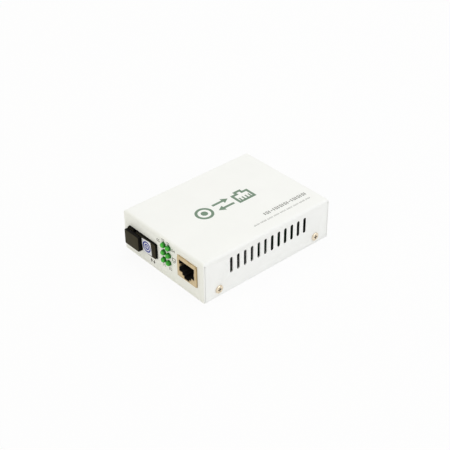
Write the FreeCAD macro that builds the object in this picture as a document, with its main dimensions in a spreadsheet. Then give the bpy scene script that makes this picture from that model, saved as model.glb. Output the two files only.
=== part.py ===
import FreeCAD, Part
from functools import lru_cache
import os
import re
import Sketcher

# Fibre media converter: a folded steel case with an optical transceiver, a shielded
# eight-way socket and six lamps in its front, and a round DC inlet in its rear.
#
# Frame, millimetres: +X to the right when facing the front panel, +Y to the back, +Z up.
# The origin is the centre of the underside.

# ------------------------------------------------------------------ driving dimensions

DIMENSIONS = (
    # folded cover
    ("case_width", 70.0, "outside, side to side"),
    ("case_length", 94.0, "outside, front panel to rear panel"),
    ("case_height", 26.0, "underside to top"),
    ("cover_sheet", 0.8, "painted steel of the cover"),
    ("fold_inner_radius", 0.8, "inside of the cover's folds"),
    ("edge_round", 0.35, "softened upright corners"),
    ("seam_gap", 0.25, "slit between an end panel and a side wall"),
    ("relief_half", 0.4, "half of the punched relief at the top of each seam"),
    ("panel_gap", 0.2, "round whatever comes through a panel"),
    # side vents
    ("vent_count", 12.0, "slots in each side"),
    ("vent_pitch", 5.0, "slot to slot"),
    ("vent_radius", 1.0, "half of a slot's width"),
    ("vent_bottom", 11.5, "height of a slot's lower end"),
    ("vent_top", 4.3, "a slot's upper end, down from the top"),
    # cover screws
    ("screw_radius", 1.5, "M3 shank"),
    ("screw_gap", 0.1, "round the shank in the cover"),
    ("thread_gap", 0.03, "round a shank in its thread"),
    ("screw_end", 10.5, "screws from the ends, along the side"),
    ("screw_level", 4.6, "height of the screws"),
    ("screw_reach", 4.0, "shank under the head"),
    ("head_radius", 2.5, "pan head"),
    ("head_height", 0.75, "pan head"),
    ("head_bevel", 0.4, "bevel of a head"),
    ("recess_arm", 1.35, "cross recess, middle to arm end"),
    ("recess_half", 0.32, "half of an arm's width"),
    ("recess_depth", 0.6, "cross recess"),
    # base plate
    ("base_sheet", 1.0, "steel of the base plate"),
    ("base_gap", 0.1, "between base plate and cover"),
    ("base_bend", 0.5, "inside radius of the base plate's bends"),
    ("flange_height", 8.5, "turned-up sides of the base plate"),
    # circuit board and its posts
    ("board_thickness", 1.6, "glass-fibre board"),
    ("board_side_gap", 1.1, "board to the base plate's sides"),
    ("board_front_gap", 1.0, "board to the front panel"),
    ("board_rear_gap", 1.7, "board to the rear panel"),
    ("post_height", 5.4, "base plate to board"),
    ("post_flat", 2.5, "six-sided post, middle to flat"),
    ("post_edge", 4.0, "posts from the board's sides"),
    ("post_left_back", 4.9, "front post behind the transceiver"),
    ("post_right_back", 6.0, "front post behind the socket"),
    ("post_end", 5.5, "rear posts from the board's rear edge"),
    ("post_screw_radius", 1.25, "M2.5 shank"),
    ("post_screw_reach", 4.0, "shank under the head, board included"),
    ("post_head_flat", 2.3, "six-sided head of a board screw, middle to flat"),
    ("post_head_height", 1.4, "head of a board screw"),
    ("pin_width", 0.5, "square pins and leads"),
    ("pin_gap", 0.15, "round a pin in the board"),
    ("pin_below", 0.8, "pin ends under the board"),
    ("peg_gap", 0.1, "round a moulded peg in the board"),
    # shielded eight-way socket
    ("jack_side", 13.5, "socket's middle from the cover's side"),
    ("jack_width", 15.9, "over the shield"),
    ("jack_height", 13.3, "over the shield"),
    ("jack_length", 21.3, "over the shield"),
    ("jack_proud", 0.8, "ahead of the front panel"),
    ("shield_sheet", 0.3, "tinned brass"),
    ("shield_notch", 0.55, "cut-away fold corners at the mouth"),
    ("jack_gap", 0.05, "between the socket's pieces"),
    ("plug_width", 12.7, "mouth for the plug"),
    ("plug_level", 3.8, "mouth above the board"),
    ("plug_height", 7.5, "mouth for the plug"),
    ("plug_depth", 12.5, "cavity behind the shield"),
    ("latch_width", 7.5, "first step of the latch channel"),
    ("latch_step", 1.6, "height of each step"),
    ("latch_throat", 4.5, "second step of the latch channel"),
    ("spring_sheet", 0.25, "side springs of the shield"),
    ("spring_level", 6.5, "side springs above the board"),
    ("spring_height", 1.9, "side springs"),
    ("spring_reach", 5.2, "side springs, into the socket"),
    ("spring_bulge", 0.6, "side springs, towards the plug"),
    ("contact_count", 8.0, "contact wires"),
    ("contact_pitch", 1.02, "wire to wire"),
    ("contact_width", 0.4, "contact wires"),
    ("contact_lip", 1.4, "front of the wires behind the mouth"),
    ("contact_slot_gap", 0.65, "room for the wires in the roof's slot"),
    ("contact_run", 8.2, "sloping stretch of a wire"),
    ("contact_drop", 4.9, "fall of the sloping stretch"),
    ("carrier_depth", 2.5, "rear wire carrier"),
    ("carrier_arm", 1.1, "thickness of the carrier's arm"),
    ("jack_peg_radius", 1.55, "moulded pegs"),
    ("jack_peg_side", 5.7, "pegs from the socket's middle"),
    ("jack_peg_back", 9.0, "pegs behind the socket's front"),
    # optical transceiver
    ("optic_side", 17.4, "transceiver's middle from the cover's side"),
    ("optic_width", 25.4, "moulded housing"),
    ("optic_height", 9.8, "moulded housing"),
    ("optic_length", 39.0, "moulded housing"),
    ("optic_proud", 1.4, "ahead of the front panel"),
    ("optic_round", 0.8, "long edges of the housing"),
    ("optic_wall", 1.2, "walls of the housing"),
    ("port_offset", -6.1, "fibre port from the transceiver's middle"),
    ("port_level", 4.7, "fibre port above the board"),
    ("port_width", 9.2, "fibre port"),
    ("port_height", 7.5, "fibre port"),
    ("port_depth", 13.0, "fibre port"),
    ("key_half", 1.0, "half of the key slot's width"),
    ("key_depth", 4.4, "key slot"),
    ("port_web", 1.5, "wall behind the fibre port"),
    ("insert_gap", 0.1, "round the latch insert"),
    ("insert_plate", 1.0, "back of the latch insert"),
    ("hook_inside", 2.6, "latch hooks from the port's middle"),
    ("hook_sheet", 0.7, "latch hooks"),
    ("hook_half", 1.5, "half of a hook's height"),
    ("hook_reach", 8.0, "latch hooks"),
    ("hook_barb", 0.45, "nose of a latch hook"),
    ("sleeve_radius", 1.6, "ceramic alignment sleeve"),
    ("sleeve_bore", 1.25, "ceramic alignment sleeve"),
    ("sleeve_reach", 7.0, "sleeve ahead of the insert"),
    ("sleeve_slit", 0.4, "slit along the sleeve"),
    ("can_radius", 3.0, "metal can of the optical unit"),
    ("can_collar", 3.8, "half of the can's square collar"),
    ("can_length", 13.0, "metal can"),
    ("inner_board", 0.8, "transceiver's own board"),
    ("optic_pin_count", 9.0, "pins of the transceiver"),
    ("optic_pin_pitch", 2.54, "pin to pin"),
    ("optic_pin_back", 3.4, "pins ahead of the housing's rear"),
    ("optic_peg_half", 0.8, "half of a moulded peg's width"),
    ("optic_peg_side", 10.16, "pegs from the transceiver's middle"),
    ("optic_peg_back", 7.4, "pegs behind the housing's front"),
    # dust cap in the fibre port
    ("cap_width", 12.7, "head"),
    ("cap_height", 9.7, "head"),
    ("cap_drop", 0.35, "head's middle under the port's"),
    ("cap_thickness", 2.4, "head"),
    ("cap_round", 0.6, "corners of the head"),
    ("cap_bevel", 0.25, "front edge of the head"),
    ("cap_seat", 0.05, "between head and housing"),
    ("cap_gap", 0.1, "round the cap's stem"),
    ("cap_wall", 0.75, "walls of the stem"),
    ("cap_stem", 8.5, "stem inside the port"),
    # inspection sticker
    ("sticker_side", 7.8, "sticker's middle from the housing's right side"),
    ("sticker_level", 4.7, "sticker above the board"),
    ("sticker_width", 8.0, "sticker"),
    ("sticker_height", 8.8, "sticker"),
    ("sticker_paper", 0.1, "sticker"),
    ("sticker_turn", 5.5, "degrees, anticlockwise"),
    # lamps
    ("lamp_aside", 0.8, "lamps left of the middle between the ports"),
    ("lamp_column", 4.25, "column to column"),
    ("lamp_rise", 3.3, "bottom row above the board"),
    ("lamp_top", 4.8, "top row, down from the top"),
    ("lamp_radius", 1.65, "lens"),
    ("lamp_gap", 0.15, "round a lens in the panel"),
    ("lamp_proud", 2.3, "lens ahead of the panel"),
    ("lamp_length", 5.8, "lens"),
    ("lamp_lead", 1.27, "leads from a lamp's middle"),
    ("lead_bend", 4.0, "bottom row's bend behind the lamps"),
    ("lead_spread", 1.8, "bend to bend, row by row"),
    ("holder_wall", 0.65, "lamp holder outside the lamps"),
    ("holder_depth", 5.0, "lamp holder"),
    ("holder_gap", 0.05, "lamp holder to panel and lamps"),
    # round DC inlet
    ("inlet_side", 15.0, "inlet's middle from the cover's side"),
    ("inlet_width", 9.0, "moulded body"),
    ("inlet_height", 11.0, "moulded body"),
    ("inlet_length", 14.2, "moulded body"),
    ("inlet_level", 6.5, "barrel above the board"),
    ("inlet_shoulder", 1.8, "rounded top edges"),
    ("inlet_bore", 3.2, "barrel socket"),
    ("inlet_depth", 10.0, "barrel socket"),
    ("inlet_pin", 1.05, "centre pin"),
    ("inlet_pin_back", 0.8, "centre pin's tip behind the mouth"),
    ("inlet_hole", 4.25, "hole in the rear panel"),
    ("inlet_setback", 0.2, "mouth behind the rear panel"),
    ("tab_half", 1.2, "half of a solder tab's width"),
    ("tab_sheet", 0.5, "solder tabs"),
    ("tab_second", 6.0, "second tab behind the body's inner end"),
    ("tab_third", 3.0, "side tab behind the body's inner end"),
    ("tab_inset", 0.6, "side tab inside the body's side"),
    ("leaf_half", 1.0, "half of the spring leaf's width"),
    ("leaf_sheet", 0.25, "spring leaf"),
    # parts on the board
    ("chip_side", 14.0, "controller package"),
    ("chip_across", 2.0, "controller from the middle"),
    ("chip_along", 8.0, "controller from the middle"),
    ("chip_height", 1.4, "controller package"),
    ("chip_lead_count", 9.0, "leads on each side"),
    ("chip_lead_pitch", 1.27, "lead to lead"),
    ("lead_width", 0.35, "flat leads of the packages"),
    ("lead_sheet", 0.2, "flat leads of the packages"),
    ("lead_out", 1.2, "flat leads, outwards"),
    ("magnet_back", 16.0, "isolating transformer's middle behind the socket"),
    ("magnet_width", 15.2, "isolating transformer"),
    ("magnet_length", 9.5, "isolating transformer"),
    ("magnet_height", 5.6, "isolating transformer"),
    ("magnet_lead_count", 8.0, "leads on each side"),
    ("magnet_lead_pitch", 1.27, "lead to lead"),
    ("crystal_beside", 15.0, "crystal can left of the controller"),
    ("crystal_along", 6.0, "crystal can from the middle"),
    ("crystal_half_length", 5.4, "half of the can's length"),
    ("crystal_half_width", 2.2, "half of the can's width"),
    ("crystal_height", 3.5, "can"),
    ("crystal_foot", 0.45, "flange of the can"),
    ("bulk_radius", 3.15, "electrolytic capacitors"),
    ("bulk_height", 11.0, "electrolytic capacitors"),
    ("bulk_across", 5.0, "capacitors from the middle"),
    ("bulk_end", 7.0, "first capacitor from the board's rear edge"),
    ("bulk_pitch", 8.0, "capacitor to capacitor"),
    ("coil_across", -12.0, "power inductor from the middle"),
    ("coil_end", 10.5, "power inductor from the board's rear edge"),
    ("coil_half", 3.6, "half of the inductor's side"),
    ("coil_height", 4.2, "power inductor"),
    ("coil_round", 1.4, "corners of the inductor"),
    ("regulator_ahead", 10.8, "regulator ahead of the inlet"),
    ("regulator_half", 3.25, "half of the regulator's width"),
    ("regulator_length", 3.5, "regulator package"),
    ("regulator_height", 1.6, "regulator package"),
    ("regulator_tab", 1.5, "half of the regulator's tab"),
    ("chip_part_half", 0.62, "half of a chip part's width"),
    ("chip_part_length", 2.0, "chip part"),
    ("chip_part_height", 0.8, "chip part"),
    ("chip_part_edge", 8.0, "first chip part from the board's left side"),
    ("chip_part_along", 18.0, "chip parts from the middle"),
    ("chip_part_pitch", 3.0, "chip part to chip part"),
    ("chip_part_count", 6.0, "chip parts in a row"),
)

LAMP_COLUMNS = 2
LAMP_ROWS = 3

# Places that follow from the driving dimensions.
PLACES = {
    "side": "case_width / 2",
    "front": "0 - case_length / 2",
    "rear": "case_length / 2",
    "fold_radius": "fold_inner_radius + cover_sheet",
    "side_inside": "side - cover_sheet",
    "front_inside": "front + cover_sheet",
    "rear_inside": "rear - cover_sheet",
    "vent_first": "0 - vent_pitch * (vent_count - 1) / 2",
    "vent_high": "case_height - vent_top",
    "screw_offset": "rear - screw_end",
    "seam_top": "case_height - fold_radius - relief_half",
    "base_side": "side_inside - base_gap",
    "board_bottom": "base_sheet + post_height",
    "board_top": "board_bottom + board_thickness",
    "board_half": "base_side - base_sheet - board_side_gap",
    "board_front": "front_inside + board_front_gap",
    "board_rear": "rear_inside - board_rear_gap",
    "post_side": "board_half - post_edge",
    "post_left_front": "optic_rear + post_left_back",
    "post_right_front": "jack_rear + post_right_back",
    "post_back": "board_rear - post_end",
    "pin_end": "board_bottom - pin_below",
    "jack_middle": "side - jack_side",
    "jack_left": "jack_middle - jack_width / 2",
    "jack_right": "jack_middle + jack_width / 2",
    "jack_front": "front - jack_proud",
    "jack_rear": "jack_front + jack_length",
    "jack_top": "board_top + jack_height",
    "shell": "shield_sheet + jack_gap",
    "plug_bottom": "board_top + plug_level",
    "plug_top": "plug_bottom + plug_height",
    "wire_front": "jack_front + contact_lip",
    "arm_top": "jack_top - shell",
    "arm_bottom": "arm_top - carrier_arm",
    "contact_slot": "(arm_top - plug_top) * contact_run / contact_drop + contact_slot_gap",
    "carrier_front": "jack_rear - shell - carrier_depth",
    "optic_middle": "optic_side - side",
    "optic_left": "optic_middle - optic_width / 2",
    "optic_right": "optic_middle + optic_width / 2",
    "optic_front": "front - optic_proud",
    "optic_rear": "optic_front + optic_length",
    "optic_top": "board_top + optic_height",
    "port_across": "optic_middle + port_offset",
    "port_middle": "board_top + port_level",
    "port_back": "optic_front + port_depth",
    "insert_front": "port_back - insert_plate",
    "cap_back": "optic_front - cap_seat",
    "cap_front": "cap_back - cap_thickness",
    "sticker_across": "optic_right - sticker_side",
    "sticker_middle": "board_top + sticker_level",
    "stem_half_width": "port_width / 2 - cap_gap",
    "stem_half_height": "port_height / 2 - cap_gap",
    "lamp_middle": "(optic_right + jack_left) / 2 - lamp_aside",
    "lamp_across": "lamp_middle - lamp_column * %d / 2" % (LAMP_COLUMNS - 1),
    "lamp_level": "board_top + lamp_rise",
    "lamp_row": "(case_height - lamp_top - lamp_level) / %d" % (LAMP_ROWS - 1),
    "lamp_tip": "front - lamp_proud",
    "lamp_back": "lamp_tip + lamp_length",
    "holder_front": "front_inside + holder_gap",
    "inlet_across": "side - inlet_side",
    "inlet_mouth": "rear_inside - inlet_setback",
    "inlet_middle": "board_top + inlet_level",
    "inlet_back": "inlet_mouth - inlet_length",
    "magnet_along": "jack_rear + magnet_back",
    "crystal_across": "chip_across - crystal_beside",
    "bulk_along": "board_rear - bulk_end",
    "coil_along": "board_rear - coil_end",
    "regulator_along": "inlet_back - regulator_ahead",
    "chip_part_across": "chip_part_edge - board_half",
}

DOME_ANGLES = (45, 90)
SLOT_STEP = 30

doc = FreeCAD.newDocument("media_converter")
sheet = doc.addObject("Spreadsheet::Sheet", "Dims")
SIZES = {}
for line, (alias, size, meaning) in enumerate(DIMENSIONS, 1):
    sheet.set("A%d" % line, alias)
    sheet.set("B%d" % line, str(size))
    sheet.set("C%d" % line, meaning)
    sheet.setAlias("B%d" % line, alias)
    SIZES[alias] = size
doc.recompute()

WORD = re.compile(r"[a-z][a-z_]*[a-z]")
TOUCH = 1e-4
NODES = []


@lru_cache(maxsize=None)
def spell(text):
    """Write a formula in the sheet's own names, with each place worked out in full."""
    def swap(match):
        word = match.group(0)
        if word in PLACES:
            return "(" + spell(PLACES[word]) + ")"
        return "Dims." + word if word in SIZES else word
    return WORD.sub(swap, text)


@lru_cache(maxsize=None)
def value(text):
    """A formula's value with the sheet as it stands."""
    return float(sheet.evalExpression(spell(text)))


def new_body(label, across="0", along="0", level="0"):
    """An empty body whose name is its node's name, placed in the part's frame."""
    body = doc.addObject("PartDesign::Body", label)
    body.Label = label
    body.AllowCompound = True
    for key, text in (("x", across), ("y", along), ("z", level)):
        if text != "0":
            body.setExpression("Placement.Base." + key, spell(text))
    NODES.append(body)
    return body


class Profile:
    """A sketch on one of a body's own planes, every point of it held by formulas."""

    def __init__(self, body, plane, level="0"):
        self.body = body
        self.plane = plane
        self.sketch = body.newObject("Sketcher::SketchObject", body.Name + "_sketch")
        base = [item for item in body.Origin.OriginFeatures if item.Role == plane + "_Plane"][0]
        self.sketch.AttachmentSupport = (base, [""])
        self.sketch.MapMode = "FlatFace"
        away = "0 - (%s)" % level if plane == "XZ" else level
        self.sketch.setExpression("AttachmentOffset.Base.z", spell(away))
        self.lines = []
        self.rules = []
        self.held = []

    def hold(self, index, vertex, across, up):
        for kind, text in (("DistanceX", across), ("DistanceY", up)):
            self.held.append((len(self.rules), text))
            self.rules.append(Sketcher.Constraint(kind, -1, 1, index, vertex, value(text)))

    def polygon(self, points):
        """A closed outline through points given as pairs of formulas."""
        first = len(self.lines)
        spots = [FreeCAD.Vector(value(across), value(up), 0) for across, up in points]
        for step, (across, up) in enumerate(points):
            after = (step + 1) % len(points)
            self.lines.append(Part.LineSegment(spots[step], spots[after]))
            self.rules.append(Sketcher.Constraint("Coincident", first + step, 2, first + after, 1))
            self.hold(first + step, 1, across, up)
        return self

    def rectangle(self, left, bottom, right, top):
        return self.polygon([(left, bottom), (right, bottom), (right, top), (left, top)])

    def block(self, across, up, half_width, half_height):
        """A rectangle about its middle."""
        return self.rectangle("%s - (%s)" % (across, half_width), "%s - (%s)" % (up, half_height),
                              "%s + (%s)" % (across, half_width), "%s + (%s)" % (up, half_height))

    def hexagon(self, across, up, flat):
        """A regular six-sided outline with two sides upright."""
        corner = "(2 * %s / sqrt(3))" % flat
        offsets = [(flat, corner + " / 2"), ("0", corner), ("0 - " + flat, corner + " / 2"),
                   ("0 - " + flat, "0 - %s / 2" % corner), ("0", "0 - " + corner),
                   (flat, "0 - %s / 2" % corner)]
        return self.polygon([("%s + (%s)" % (across, wide), "%s + (%s)" % (up, tall))
                             for wide, tall in offsets])

    def circle(self, across, up, radius):
        index = len(self.lines)
        middle = FreeCAD.Vector(value(across), value(up), 0)
        self.lines.append(Part.Circle(middle, FreeCAD.Vector(0, 0, 1), value(radius)))
        self.hold(index, 3, across, up)
        self.held.append((len(self.rules), radius))
        self.rules.append(Sketcher.Constraint("Radius", index, value(radius)))
        return self

    def upright_slot(self, across, low, high, radius):
        """A slot between the middles of its two round ends, each end in short straight steps."""
        points = []
        for middle, first in ((high, 0), (low, 180)):
            for angle in range(first, first + 181, SLOT_STEP):
                points.append(("%s + %s * cos(%d)" % (across, radius, angle),
                               "%s + %s * sin(%d)" % (middle, radius, angle)))
        return self.polygon(points)

    def draw(self):
        self.sketch.addGeometry(self.lines, False)
        self.sketch.addConstraint(self.rules)
        for number, text in self.held:
            self.sketch.setExpression("Constraints[%d]" % number, spell(text))

    def feature(self, kind, length, backwards):
        self.draw()
        made = self.body.newObject(kind, self.body.Name + "_" + kind.split("::")[1].lower())
        made.Profile = self.sketch
        made.Type = "Length"
        made.setExpression("Length", spell(length))
        made.Reversed = backwards
        self.sketch.Visibility = False
        return made

    def add(self, length):
        """Pad from the sketch towards +X, +Y or +Z."""
        return self.feature("PartDesign::Pad", length, self.plane == "XZ")

    def cut(self, length):
        """Pocket from the sketch towards +X, +Y or +Z."""
        return self.feature("PartDesign::Pocket", length, self.plane != "XZ")


def dress_edges(body, kind, size_name, size, wanted):
    """Fillet or chamfer the edges whose bounding boxes pass a test."""
    doc.recompute()
    base = body.Tip
    names = ["Edge%d" % number for number, edge in enumerate(base.Shape.Edges, 1)
             if wanted(edge.BoundBox)]
    dressed = body.newObject("PartDesign::" + kind, body.Name + "_" + kind.lower())
    dressed.Base = (base, names)
    dressed.setExpression(size_name, spell(size))
    return dressed


def round_edges(body, radius, wanted):
    return dress_edges(body, "Fillet", "Radius", radius, wanted)


def bevel_edges(body, size, wanted):
    return dress_edges(body, "Chamfer", "Size", size, wanted)


def turn(body, across, up, steps):
    """Revolve a stepped outline about an axis along Y; steps are (radius, Y) formulas."""
    outline = Profile(body, "XY", up)
    start, end = steps[0][1], steps[-1][1]
    outline.polygon([(across, start)] + [("%s + (%s)" % (across, radius), along)
                                         for radius, along in steps if radius != "0"] + [(across, end)])
    outline.draw()
    low, high = (FreeCAD.Vector(value(across), value(text), 0) for text in (start, end))
    line = outline.sketch.addGeometry(Part.LineSegment(low, high), True)
    outline.sketch.addConstraint(Sketcher.Constraint("Coincident", line, 1, 0, 1))
    outline.sketch.addConstraint(Sketcher.Constraint("Coincident", line, 2, len(outline.lines) - 1, 1))
    made = body.newObject("PartDesign::Revolution", body.Name + "_revolution")
    made.Profile = outline.sketch
    made.ReferenceAxis = (outline.sketch, ["Axis0"])
    made.Angle = 360
    return made


def repeat(body, feature, axis, count, pitch):
    """Copy a feature along one of the body's axes."""
    pattern = body.newObject("PartDesign::LinearPattern", body.Name + "_row")
    pattern.Originals = [feature]
    line = [item for item in body.Origin.OriginFeatures if item.Role == axis + "_Axis"][0]
    pattern.Direction = (line, [""])
    pattern.setExpression("Length", spell("%s * (%s - 1)" % (pitch, count)))
    pattern.setExpression("Occurrences", spell(count))
    body.Tip = pattern
    return pattern


def mirror(body, plane):
    """Add the mirror image of all that a body holds."""
    other = body.newObject("PartDesign::Mirrored", body.Name + "_mirror")
    other.TransformMode = "Whole shape"
    flat = [item for item in body.Origin.OriginFeatures if item.Role == plane + "_Plane"][0]
    other.MirrorPlane = (flat, [""])
    body.Tip = other
    return other


def at(number, text):
    """Whether a coordinate lies on a place."""
    return abs(number - value(text)) < TOUCH


def level_ring(text):
    """Test for edges that lie flat at one height."""
    return lambda box: at(box.ZMin, text) and at(box.ZMax, text)


def fore_and_aft(box):
    """Test for edges along Y."""
    return box.YLength > TOUCH and box.XLength < TOUCH and box.ZLength < TOUCH


def upright(box):
    """Test for edges along Z."""
    return box.ZLength > TOUCH and box.XLength < TOUCH and box.YLength < TOUCH


# ------------------------------------------------------------------ outlines used twice

def plug_outline(profile, ease="0"):
    """Mouth of the eight-way socket: the plug's rectangle over a stepped latch channel."""
    wide = "plug_width / 2 + " + ease
    mid = "latch_width / 2 + " + ease
    slim = "latch_throat / 2 + " + ease
    floor = "plug_bottom - " + ease
    step = "plug_bottom - latch_step - " + ease
    foot = "plug_bottom - 2 * latch_step - " + ease
    roof = "plug_top + " + ease
    left = [(wide, roof), (wide, floor), (mid, floor), (mid, step), (slim, step), (slim, foot)]
    points = [("jack_middle - (%s)" % half, up) for half, up in left]
    points += [("jack_middle + (%s)" % half, up) for half, up in reversed(left)]
    return profile.polygon(points)


def lamp_places():
    """Middles of the lamps, bottom row first, as formulas for X and Z."""
    for row in range(LAMP_ROWS):
        for column in range(LAMP_COLUMNS):
            yield ("lamp_across + %d * lamp_column" % column, "lamp_level + %d * lamp_row" % row)


def post_places():
    """Middles of the board's posts, as formulas for X and Y."""
    return (("0 - post_side", "post_left_front"), ("post_side", "post_right_front"),
            ("0 - post_side", "post_back"), ("post_side", "post_back"))


def lead_place(row):
    """Where a row of lamp leads turns down into the board."""
    return "lamp_back + lead_bend + %d * lead_spread" % row


def optic_pin(number):
    return "optic_middle + (%d - (optic_pin_count - 1) / 2) * optic_pin_pitch" % number


def contact_place(number):
    return "jack_middle + (%d - (contact_count - 1) / 2) * contact_pitch" % number


def tab_places():
    """Solder tabs of the inlet: two across its back, one at its side."""
    return (("inlet_across", "inlet_back + tab_sheet", "tab_half", "tab_sheet / 2"),
            ("inlet_across", "inlet_back + tab_second", "tab_half", "tab_sheet / 2"),
            ("inlet_across - inlet_width / 2 + tab_inset", "inlet_back + tab_third",
             "tab_sheet / 2", "tab_half"))


# ------------------------------------------------------------------ case

def make_cover():
    """Top, both ends and both sides, folded from one sheet."""
    body = new_body("top_cover")
    Profile(body, "XY").rectangle("0 - side", "front", "side", "rear").add("case_height")
    hollow = Profile(body, "XY")
    hollow.rectangle("0 - side_inside", "front_inside", "side_inside", "rear_inside")
    hollow.cut("case_height - cover_sheet")
    round_edges(body, "fold_radius", level_ring("case_height"))
    round_edges(body, "fold_inner_radius", level_ring("case_height - cover_sheet"))
    round_edges(body, "edge_round", lambda box: upright(box) and at(abs(box.XMin), "side"))
    seams = Profile(body, "XY")
    for low, high in (("front_inside", "front_inside + seam_gap"),
                      ("rear_inside - seam_gap", "rear_inside")):
        seams.rectangle("0 - case_width", low, "case_width", high)
    seams.cut("seam_top")
    holes = Profile(body, "YZ", "0 - case_width")
    for middle in ("front_inside + seam_gap / 2", "rear_inside - seam_gap / 2"):
        holes.block(middle, "seam_top", "relief_half", "relief_half")
    for sign in ("0 -", "0 +"):
        holes.circle(sign + " screw_offset", "screw_level", "screw_radius + screw_gap")
    holes.cut("2 * case_width")
    slot = Profile(body, "YZ", "0 - case_width")
    slot.upright_slot("vent_first", "vent_bottom + vent_radius",
                      "vent_high - vent_radius", "vent_radius")
    repeat(body, slot.cut("2 * case_width"), "Y", "vent_count", "vent_pitch")
    openings = Profile(body, "XZ", "front - panel_gap")
    openings.rectangle("jack_left - panel_gap", "board_top - panel_gap",
                       "jack_right + panel_gap", "jack_top + panel_gap")
    openings.rectangle("optic_left - panel_gap", "board_top - panel_gap",
                       "optic_right + panel_gap", "optic_top + panel_gap")
    for across, up in lamp_places():
        openings.circle(across, up, "lamp_radius + lamp_gap")
    openings.cut("cover_sheet + 2 * panel_gap")
    inlet = Profile(body, "XZ", "rear_inside - panel_gap")
    inlet.circle("inlet_across", "inlet_middle", "inlet_hole")
    inlet.cut("cover_sheet + 2 * panel_gap")
    round_edges(body, "optic_round", lambda box: fore_and_aft(box) and box.YMax < 0
                and (at(box.XMin, "optic_left - panel_gap")
                     or at(box.XMin, "optic_right + panel_gap")))


def make_base():
    """Base plate with its two turned-up sides, tapped for the cover's screws."""
    body = new_body("base_plate")
    inner = "base_side - base_sheet"
    section = Profile(body, "XZ", "front_inside + base_gap")
    section.polygon([("0 - base_side", "0"), ("base_side", "0"), ("base_side", "flange_height"),
                     (inner, "flange_height"), (inner, "base_sheet"), ("0 - (%s)" % inner, "base_sheet"),
                     ("0 - (%s)" % inner, "flange_height"), ("0 - base_side", "flange_height")])
    section.add("case_length - 2 * (cover_sheet + base_gap)")
    round_edges(body, "base_bend + base_sheet",
                lambda box: fore_and_aft(box) and at(abs(box.XMin), "base_side") and at(box.ZMin, "0"))
    round_edges(body, "base_bend",
                lambda box: fore_and_aft(box) and at(abs(box.XMin), inner) and at(box.ZMin, "base_sheet"))
    threads = Profile(body, "YZ", "0 - case_width")
    for sign in ("0 -", "0 +"):
        threads.circle(sign + " screw_offset", "screw_level", "screw_radius + thread_gap")
    threads.cut("2 * case_width")


def make_cover_screws():
    """Four pan-head screws, two in each side."""
    body = new_body("cover_screws")
    shanks = Profile(body, "YZ", "side - screw_reach")
    heads = Profile(body, "YZ", "side")
    for sign in ("0 -", "0 +"):
        shanks.circle(sign + " screw_offset", "screw_level", "screw_radius")
        heads.circle(sign + " screw_offset", "screw_level", "head_radius")
    shanks.add("screw_reach")
    heads.add("head_height")
    bevel_edges(body, "head_bevel", lambda box: at(box.XMin, "side + head_height")
                and box.XLength < TOUCH)
    for tall, wide in (("recess_arm", "recess_half"), ("recess_half", "recess_arm")):
        cross = Profile(body, "YZ", "side + head_height - recess_depth")
        for sign in ("0 -", "0 +"):
            cross.block(sign + " screw_offset", "screw_level", wide, tall)
        cross.cut("2 * recess_depth")
    mirror(body, "YZ")


# ------------------------------------------------------------------ board and its fixings

def make_posts():
    body = new_body("board_posts")
    posts = Profile(body, "XY", "base_sheet")
    bores = Profile(body, "XY", "base_sheet")
    for across, along in post_places():
        posts.hexagon(across, along, "post_flat")
        bores.circle(across, along, "post_screw_radius + thread_gap")
    posts.add("post_height")
    bores.cut("post_height")


def make_board_screws():
    body = new_body("board_screws")
    shanks = Profile(body, "XY", "board_top - post_screw_reach")
    heads = Profile(body, "XY", "board_top")
    for across, along in post_places():
        shanks.circle(across, along, "post_screw_radius")
        heads.hexagon(across, along, "post_head_flat")
    shanks.add("post_screw_reach")
    heads.add("post_head_height")


def make_board():
    """Circuit board with the holes that its screws, pegs and pins need."""
    body = new_body("circuit_board")
    Profile(body, "XY", "board_bottom").rectangle(
        "0 - board_half", "board_front", "board_half", "board_rear").add("board_thickness")
    holes = Profile(body, "XY", "board_bottom - board_thickness")
    for across, along in post_places():
        holes.circle(across, along, "post_screw_radius + screw_gap")
    for sign in ("-", "+"):
        holes.block("optic_middle %s optic_peg_side" % sign, "optic_front + optic_peg_back",
                    "optic_peg_half + peg_gap", "optic_peg_half + peg_gap")
        holes.circle("jack_middle %s jack_peg_side" % sign, "jack_front + jack_peg_back",
                     "jack_peg_radius + peg_gap")
    slot = "pin_width / 2 + pin_gap"
    for number in range(int(SIZES["optic_pin_count"])):
        holes.block(optic_pin(number), "optic_rear - optic_pin_back", slot, slot)
    for row in range(LAMP_ROWS):
        for column in range(LAMP_COLUMNS):
            for sign in ("-", "+"):
                holes.block("lamp_across + %d * lamp_column %s lamp_lead" % (column, sign),
                            lead_place(row), slot, slot)
    wires = "contact_width / 2 + pin_gap"
    for number in range(int(SIZES["contact_count"])):
        holes.block(contact_place(number), "jack_rear - shell - contact_width", wires, wires)
    for across, along, half_width, half_length in tab_places():
        holes.block(across, along, half_width + " + peg_gap", half_length + " + peg_gap")
    holes.cut("3 * board_thickness")


# ------------------------------------------------------------------ eight-way socket

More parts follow.
